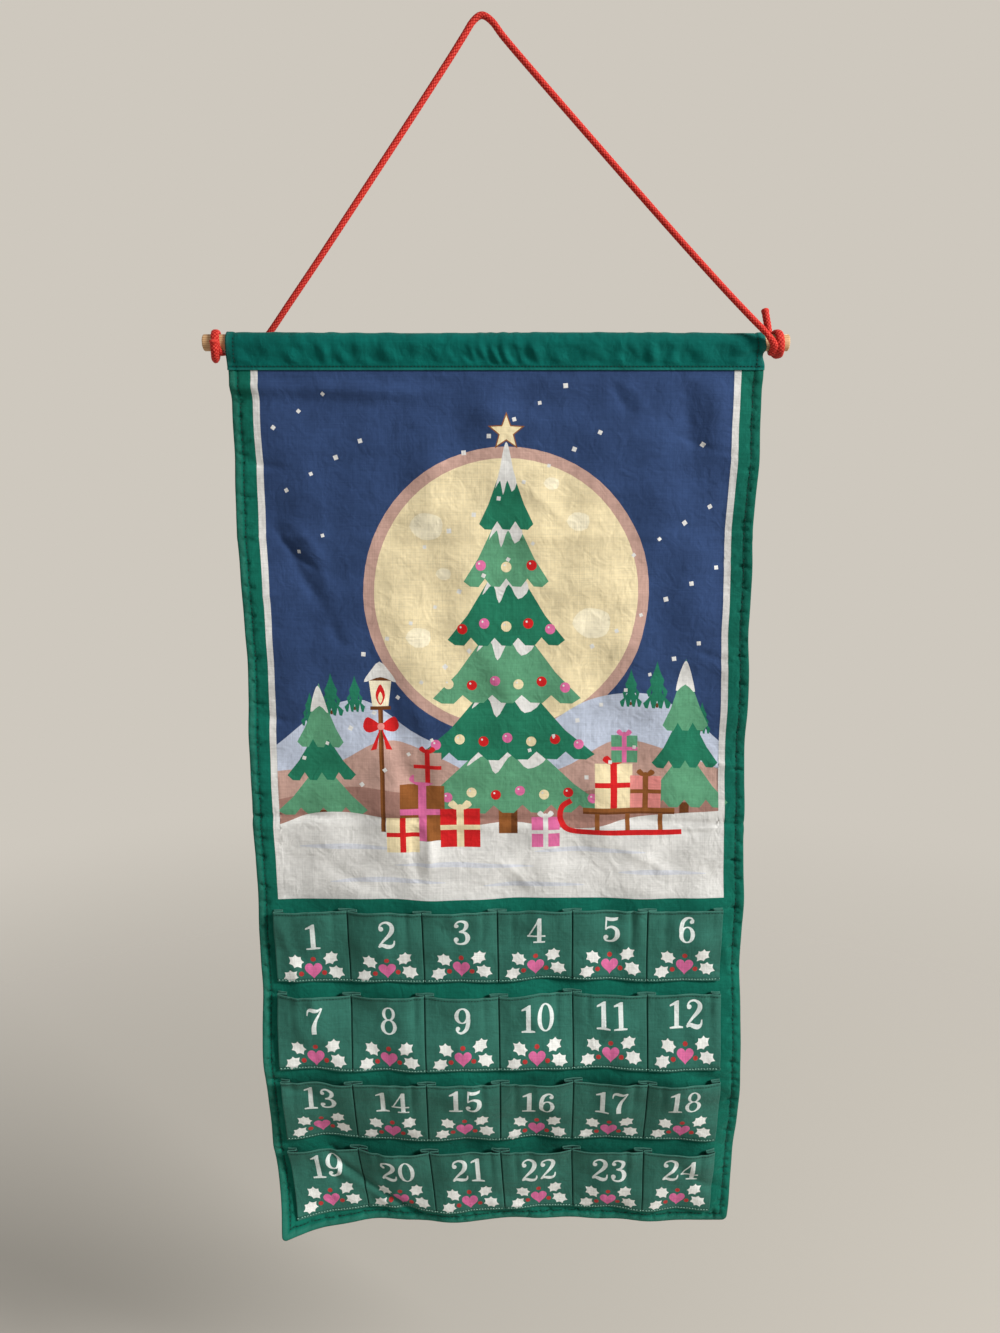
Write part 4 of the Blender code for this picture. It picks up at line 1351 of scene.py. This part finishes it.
def sewSleeve(looks):
    half = bannerHalf
    bm = bmesh.new()
    for share, facing in ((0.955, -1), (0.045, 1)):
        sewRow(bm, sleeveFace, [(-half + 2, share), (half - 2, share)], stitchForm["sleeve"], facing)
    for side in (-1, 1):
        u = side * (half - sleeveCloth["endHem"])
        sewRow(bm, sleeveFace, [(u, 0.60), (u, 0.95)], stitchForm["sleeve"], -1)
        sewRow(bm, sleeveFace, [(u, 0.40), (u, 0.05)], stitchForm["sleeve"], 1)
    sewnPiece("sleeveStitch", bm, looks["sleeveThread"])


def sleeveFace(u, share):
    # the outer face of the sleeve
    middle = sleevePlace(u, share)
    ahead = sleevePlace(u, np.asarray(share) + 0.004) - sleevePlace(u, np.asarray(share) - 0.004)
    out = np.stack([np.zeros(len(ahead)), ahead[:, 2], -ahead[:, 1]], axis=1)
    out /= np.linalg.norm(out, axis=1)[:, None] + 1e-12
    return middle + out * sleeveCloth["thickness"] / 2


# finishes

def feed(tree, node, feeds):
    # gives each named socket another node's output or a plain value
    for label, value in feeds.items():
        if isinstance(value, bpy.types.NodeSocket):
            tree.links.new(value, node.inputs[label])
        else:
            node.inputs[label].default_value = value


def addNode(tree, kind, x, y, feeds=None, **settings):
    node = tree.nodes.new(kind)
    node.location = (x, y)
    for key, value in settings.items():
        setattr(node, key, value)
    feed(tree, node, feeds or {})
    return node


def attributeNode(tree, x, y, name, output="Fac"):
    return addNode(tree, "ShaderNodeAttribute", x, y, attribute_name=name).outputs[output]


def mathNode(tree, operation, x, y, *values):
    return addNode(tree, "ShaderNodeMath", x, y, dict(enumerate(values)), operation=operation).outputs[0]


def rangeNode(tree, x, y, value, low, high, start=0.0, end=1.0):
    limits = {"Value": value, "From Min": start, "From Max": end, "To Min": low, "To Max": high}
    return addNode(tree, "ShaderNodeMapRange", x, y, limits).outputs["Result"]


def noiseNode(tree, x, y, vector, scale, detail=3.0, stretch=None, roughness=0.5, distortion=0.0):
    if stretch:
        mapping = {"Vector": vector, "Scale": stretch}
        vector = addNode(tree, "ShaderNodeMapping", x - 180, y, mapping).outputs["Vector"]
    values = {"Vector": vector, "Scale": scale, "Detail": detail, "Roughness": roughness,
              "Distortion": distortion}
    return addNode(tree, "ShaderNodeTexNoise", x, y, values).outputs["Fac"]


def bumpNode(tree, x, y, height, strength, distance, under=None):
    values = {"Height": height, "Strength": strength, "Distance": distance}
    if under:
        values["Normal"] = under
    return addNode(tree, "ShaderNodeBump", x, y, values).outputs[0]


def rampNode(tree, x, y, value, colours, places):
    node = addNode(tree, "ShaderNodeValToRGB", x, y, {"Fac": value})
    stops = node.color_ramp.elements
    for stop, k in ((stops[0], 0), (stops[1], 2)):
        stop.position = places[k]
        stop.color = screenColour(colours[k])
    stops.new(places[1]).color = screenColour(colours[1])
    return node.outputs["Color"]


def shadeNode(tree, x, y, colour, value, saturation=1.0):
    values = {"Color": colour, "Value": value, "Saturation": saturation}
    return addNode(tree, "ShaderNodeHueSaturation", x, y, values).outputs[0]


def screenColour(colour):
    return (*linear(colour), 1)


def newGroup(name, inputs, outputs):
    group = bpy.data.node_groups.new(name, "ShaderNodeTree")
    for label, kind, value in inputs:
        socket = group.interface.new_socket(label, in_out="INPUT", socket_type=kind)
        if value is not None:
            socket.default_value = value
    for label in outputs:
        group.interface.new_socket(label, in_out="OUTPUT", socket_type="NodeSocketFloat")
    return group, addNode(group, "NodeGroupInput", -900, 0), addNode(group, "NodeGroupOutput", 900, 0)


def plainWeaveGroup():
    # over and under threads from the flat place on the cloth, with thick and thin yarns
    group, given, result = newGroup(
        "plainWeave", [("Cloth", "NodeSocketVector", None), ("Threads", "NodeSocketFloat", 2200.0)],
        ["Height", "Slub"])
    cloth = given.outputs["Cloth"]
    turns = mathNode(group, "MULTIPLY", -880, -160, given.outputs["Threads"], math.pi)
    scaled = addNode(group, "ShaderNodeVectorMath", -700, 100, {0: cloth, "Scale": turns}, operation="SCALE")
    parts = addNode(group, "ShaderNodeSeparateXYZ", -520, 100, {0: scaled.outputs[0]})
    warp = mathNode(group, "SINE", -340, 180, parts.outputs[0])
    weft = mathNode(group, "SINE", -340, 20, parts.outputs[1])
    over = mathNode(group, "GREATER_THAN", -160, 100, mathNode(group, "MULTIPLY", -250, 100, warp, weft), 0.0)
    roundWarp = mathNode(group, "ABSOLUTE", -160, 260, warp)
    roundWeft = mathNode(group, "ABSOLUTE", -160, -60, weft)
    dipWarp = mathNode(group, "MULTIPLY_ADD", 20, 260, roundWeft, 0.4, 0.6)
    dipWeft = mathNode(group, "MULTIPLY_ADD", 20, -60, roundWarp, 0.4, 0.6)
    high = mathNode(group, "MULTIPLY", 180, 260, roundWarp, dipWarp)
    low = mathNode(group, "MULTIPLY", 180, -60, roundWeft, dipWeft)
    pick = addNode(group, "ShaderNodeMix", 360, 100, {0: over, 2: low, 3: high}, data_type="FLOAT")
    first = noiseNode(group, -160, -320, cloth, 1.0, 2.0, (34, 1150, 1))
    second = noiseNode(group, -160, -560, cloth, 1.0, 2.0, (1150, 30, 1))
    both = mathNode(group, "MULTIPLY", 200, -420, mathNode(group, "ADD", 60, -420, first, second), 0.5)
    feed(group, result, {"Height": pick.outputs[0], "Slub": both})
    return group


def clothAgeGroup():
    # soft fading, handling marks and the crumple of washed cloth
    group, given, result = newGroup("clothAge", [("Point", "NodeSocketVector", None)], ["Tint", "Crumple"])
    point = given.outputs["Point"]
    broad = noiseNode(group, -300, 200, point, 6.5, 3.0)
    close = noiseNode(group, -300, -40, point, 46.0, 3.0, roughness=0.6)
    tint = mathNode(group, "ADD", 60, 100, rangeNode(group, -80, 220, broad, 0.41, 0.59, 0.3, 0.7),
                    rangeNode(group, -80, -20, close, 0.38, 0.62, 0.3, 0.7))
    folds = noiseNode(group, -300, -300, point, 62.0, 2.0, distortion=1.1)
    fine = noiseNode(group, -300, -540, point, 210.0, 2.0)
    crumple = mathNode(group, "MULTIPLY_ADD", 0, -400, fine, 0.35, folds)
    feed(group, result, {"Tint": tint, "Crumple": crumple})
    return group


weaveGroup = plainWeaveGroup()
ageGroup = clothAgeGroup()


def newLook(name):
    look = bpy.data.materials.new(name)
    look.use_nodes = True
    shader = look.node_tree.nodes["Principled BSDF"]
    shader.location = (700, 0)
    return look, look.node_tree, shader


cottonLooks = {
    "printedCotton": {"colour": None, "threads": 2100.0, "sheen": 0.04, "weave": 0.00014, "crumple": 0.0024,
                      "slub": 0.14, "wearAndShade": 0.18},
    "pocketCotton": {"colour": None, "threads": 2100.0, "sheen": 0.06, "weave": 0.00015, "crumple": 0.0024,
                     "slub": 0.16, "wearAndShade": 0.24},
    "sleeveCotton": {"colour": "sleeve", "threads": 2600.0, "sheen": 0.04, "weave": 0.00011,
                     "crumple": 0.0028, "slub": 0.11, "wearAndShade": 0.24},
    "backingCotton": {"colour": "backing", "threads": 2300.0, "sheen": 0.04, "weave": 0.00012,
                      "crumple": 0.0024, "slub": 0.1, "wearAndShade": 0.2},
}


def makeCotton(name):
    values = cottonLooks[name]
    look, tree, shader = newLook(name)
    flat = addNode(tree, "ShaderNodeUVMap", -900, 200, uv_map="flatCloth").outputs[0]
    place = addNode(tree, "ShaderNodeTexCoord", -900, -200).outputs["Object"]
    weave = addNode(tree, "ShaderNodeGroup", -660, 200, node_tree=weaveGroup)
    feed(tree, weave, {"Threads": values["threads"], "Cloth": flat})
    age = addNode(tree, "ShaderNodeGroup", -660, -200, node_tree=ageGroup)
    feed(tree, age, {"Point": place})
    wearAndShade = attributeNode(tree, -660, -420, "wearAndShade")
    yarn = weave.outputs["Slub"]
    slub = rangeNode(tree, -420, 260, yarn, 1 - values["slub"], 1 + values["slub"], 0.3, 0.7)
    value = mathNode(tree, "MULTIPLY", -200, 60, slub, age.outputs["Tint"])
    # lighter where the cloth is worn, darker where shade is painted into grooves, pleats and the right side
    wearAndShadeLevel = mathNode(tree, "MULTIPLY_ADD", -200, -160, wearAndShade, values["wearAndShade"], 1.0)
    value = mathNode(tree, "MULTIPLY", 0, -40, value, wearAndShadeLevel)
    if values["colour"]:
        colour = screenColour(paint[values["colour"]])
    else:
        colour = attributeNode(tree, -200, 340, "printColour", "Color")
    shade = shadeNode(tree, 220, 200, colour, value, rangeNode(tree, 0, -260, wearAndShade, 1.0, 0.9))
    threads = bumpNode(tree, 220, -360, weave.outputs["Height"], 0.55, values["weave"])
    crumple = bumpNode(tree, 440, -360, age.outputs["Crumple"], 0.5, values["crumple"], threads)
    feed(tree, shader, {
        "Base Color": shade, "Roughness": rangeNode(tree, 220, -120, yarn, 0.93, 0.78, 0.3, 0.7),
        "Normal": crumple, "Sheen Weight": values["sheen"], "Sheen Roughness": 0.5,
        "Sheen Tint": (0.92, 0.96, 0.94, 1), "Specular IOR Level": 0.08})
    return look


# the braid's red, with painted shade down between the strands and a painted highlight on their crowns
cordPaint = {
    "groove": (84, 8, 10),
    "body": (192, 38, 32),
    "crown": (232, 96, 80),
}


def makeCordLook():
    look, tree, shader = newLook("redBraid")
    height = attributeNode(tree, -700, 200, "strandHeight")
    tone = attributeNode(tree, -700, 0, "strandTone")
    flat = addNode(tree, "ShaderNodeUVMap", -900, -200, uv_map="flatCloth").outputs[0]
    fibre = noiseNode(tree, -500, -200, flat, 1.0, 2.0, (2600, 900, 1))
    # painted shade and highlight: by the strands' height, darker in the grooves and paler on the crowns
    lift = mathNode(tree, "MULTIPLY_ADD", -420, 200, height, 0.86,
                    rangeNode(tree, -560, 60, fibre, -0.1, 0.16, 0.3, 0.7))
    colour = rampNode(tree, -200, 200, lift, list(cordPaint.values()), (0.12, 0.55, 1.0))
    shade = shadeNode(tree, 200, 200, colour, rangeNode(tree, 0, 20, tone, 0.88, 1.12))
    feed(tree, shader, {
        "Base Color": shade, "Roughness": rangeNode(tree, 200, -60, fibre, 0.62, 0.82, 0.3, 0.7),
        "Normal": bumpNode(tree, 400, -260, fibre, 0.4, 0.00012), "Sheen Weight": 0.06,
        "Sheen Roughness": 0.4, "Sheen Tint": (1, 0.6, 0.55, 1), "Specular IOR Level": 0.12})
    return look


woodPaint = {
    "dark": (160, 112, 70),
    "body": (201, 158, 112),
    "pale": (222, 184, 138),
}


def makeWoodLook():
    look, tree, shader = newLook("paleDowelWood")
    place = addNode(tree, "ShaderNodeTexCoord", -1100, 0).outputs["Object"]
    centre = (-rodCentre * mm + (0, 0.004, 0.009)).tolist()
    centred = addNode(tree, "ShaderNodeMapping", -920, 0, {"Vector": place, "Location": centre}).outputs[0]
    grain = noiseNode(tree, -500, 260, centred, 1.0, 4.0, (9, 900, 900), 0.55, 0.4)
    pores = noiseNode(tree, -500, 0, centred, 1.0, 2.0, (60, 4200, 4200))
    rings = addNode(tree, "ShaderNodeTexWave", -500, -260,
                    {"Vector": centred, "Scale": 210.0, "Distortion": 2.2, "Detail Scale": 0.6},
                    wave_type="RINGS", rings_direction="X").outputs["Fac"]
    mixed = mathNode(tree, "MULTIPLY_ADD", -260, 100, grain, 0.62,
                     mathNode(tree, "MULTIPLY", -380, -120, rings, 0.34))
    feed(tree, shader, {
        "Base Color": rampNode(tree, -40, 160, mixed, list(woodPaint.values()), (0.18, 0.45, 0.8)),
        "Roughness": rangeNode(tree, 200, -60, pores, 0.5, 0.68, 0.3, 0.7),
        "Normal": bumpNode(tree, 400, -260, pores, 0.3, 0.0001), "Specular IOR Level": 0.4})
    return look


threadPaint = {
    "darkThread": (8, 44, 37),
    "paleThread": (142, 186, 168),
    "sleeveThread": (4, 46, 40),
}


def makeThread(name):
    look, tree, shader = newLook(name)
    place = addNode(tree, "ShaderNodeTexCoord", -700, 0).outputs["Object"]
    twist = noiseNode(tree, -400, 0, place, 3200.0, 1.0)
    lightness = rangeNode(tree, -200, 0, twist, 0.7, 1.35, 0.3, 0.7)
    feed(tree, shader, {
        "Base Color": shadeNode(tree, 0, 100, screenColour(threadPaint[name]), lightness),
        "Roughness": rangeNode(tree, 0, -160, twist, 0.5, 0.75, 0.3, 0.7),
        "Normal": bumpNode(tree, 300, -260, twist, 0.4, 0.00008), "Sheen Weight": 0.03,
        "Specular IOR Level": 0.2})
    return look


# floor, light and background

stageLook = {
    "floorDrop": -1.34,
    "floorReach": 2.6,
    "background": (206, 200, 190),
    "floor": (188, 182, 172),
    "worldLight": (1.0, 0.99, 0.97, 1),
    "worldStrength": 0.26,
}

lampPlan = (
    # name, place, aimed at, size, watts
    ("keyLamp", (1.95, -1.15, 0.6), (0.0, 0.0, -0.6), 0.7, 84),
    ("fillLamp", (-1.7, -1.5, -0.2), (0.0, 0.0, -0.6), 1.8, 6),
    ("backLamp", (0.6, 2.1, 0.6), (0.0, 0.0, -0.6), 1.6, 26),
)


def makeLamps():
    for name, place, target, size, watts in lampPlan:
        data = bpy.data.lights.new(name, "AREA")
        data.size = size
        data.energy = watts
        lamp = bpy.data.objects.new(name, data)
        bpy.context.scene.collection.objects.link(lamp)
        lamp.location = place
        lamp.rotation_euler = (Vector(target) - Vector(place)).to_track_quat("-Z", "Y").to_euler()


def makeWorld():
    # the camera sees a plain backdrop, and the scene is lit by a dimmer one
    world = bpy.data.worlds.new("paleRoom")
    bpy.context.scene.world = world
    world.use_nodes = True
    tree = world.node_tree
    tree.nodes.clear()
    seen = addNode(tree, "ShaderNodeBackground", 0, 120, {"Color": screenColour(stageLook["background"])})
    lit = addNode(tree, "ShaderNodeBackground", 0, -120,
                  {"Color": stageLook["worldLight"], "Strength": stageLook["worldStrength"]})
    rays = addNode(tree, "ShaderNodeLightPath", -600, 0).outputs
    either = mathNode(tree, "MAXIMUM", -300, 60, rays["Is Camera Ray"], rays["Is Glossy Ray"])
    either = mathNode(tree, "MAXIMUM", -150, 60, either, rays["Is Transmission Ray"])
    mix = addNode(tree, "ShaderNodeMixShader", 300, 0, {0: either, 1: lit.outputs[0], 2: seen.outputs[0]})
    addNode(tree, "ShaderNodeOutputWorld", 600, 0, {0: mix.outputs[0]})


def makeFloor():
    # a round floor that fades out towards its rim
    bm = bmesh.new()
    bmesh.ops.create_circle(bm, cap_ends=True, segments=96, radius=stageLook["floorReach"])
    bmesh.ops.translate(bm, verts=bm.verts, vec=(0, 0, stageLook["floorDrop"]))
    mesh = meshOf("floor", bm)
    floor = bpy.data.objects.new("floor", mesh)
    bpy.context.scene.collection.objects.link(floor)
    look, tree, shader = newLook("paleFloor")
    feed(tree, shader, {"Base Color": screenColour(stageLook["floor"]), "Roughness": 0.9,
                        "Specular IOR Level": 0.1})
    place = addNode(tree, "ShaderNodeTexCoord", -700, -200).outputs["Object"]
    flat = addNode(tree, "ShaderNodeVectorMath", -500, -200, {0: place, 1: (1, 1, 0)}, operation="MULTIPLY")
    away = addNode(tree, "ShaderNodeVectorMath", -320, -200, {0: flat.outputs[0]}, operation="LENGTH")
    fade = rangeNode(tree, -120, -200, away.outputs["Value"], 0.0, 1.0, 0.3, stageLook["floorReach"] - 0.1)
    fade.node.interpolation_type = "SMOOTHSTEP"
    clear = addNode(tree, "ShaderNodeBsdfTransparent", 700, -200)
    mix = addNode(tree, "ShaderNodeMixShader", 1000, 0, {0: fade, 1: shader.outputs[0], 2: clear.outputs[0]})
    feed(tree, tree.nodes["Material Output"], {"Surface": mix.outputs[0]})
    mesh.materials.append(look)


# putting it together

bpy.context.scene.view_settings.view_transform = "Standard"
looks = {name: makeCotton(name) for name in cottonLooks}
looks.update({name: makeThread(name) for name in threadPaint})
looks["redBraid"] = makeCordLook()
looks["wood"] = makeWoodLook()
print("finishes made")

makeCord(looks["redBraid"])
makeDowel(looks["wood"])
makeSleeve(looks["sleeveCotton"])
makeFrontPanel(looks["printedCotton"])
makeBackingPanel(looks["backingCotton"])
for row in range(rows):
    makePocketStrip(row, looks["pocketCotton"])
print("cloth made")

sewPanelEdges(looks)
sewPockets(looks)
sewSleeve(looks)
print("stitching done")

makeLamps()
makeWorld()
makeFloor()
print("lights and floor set")
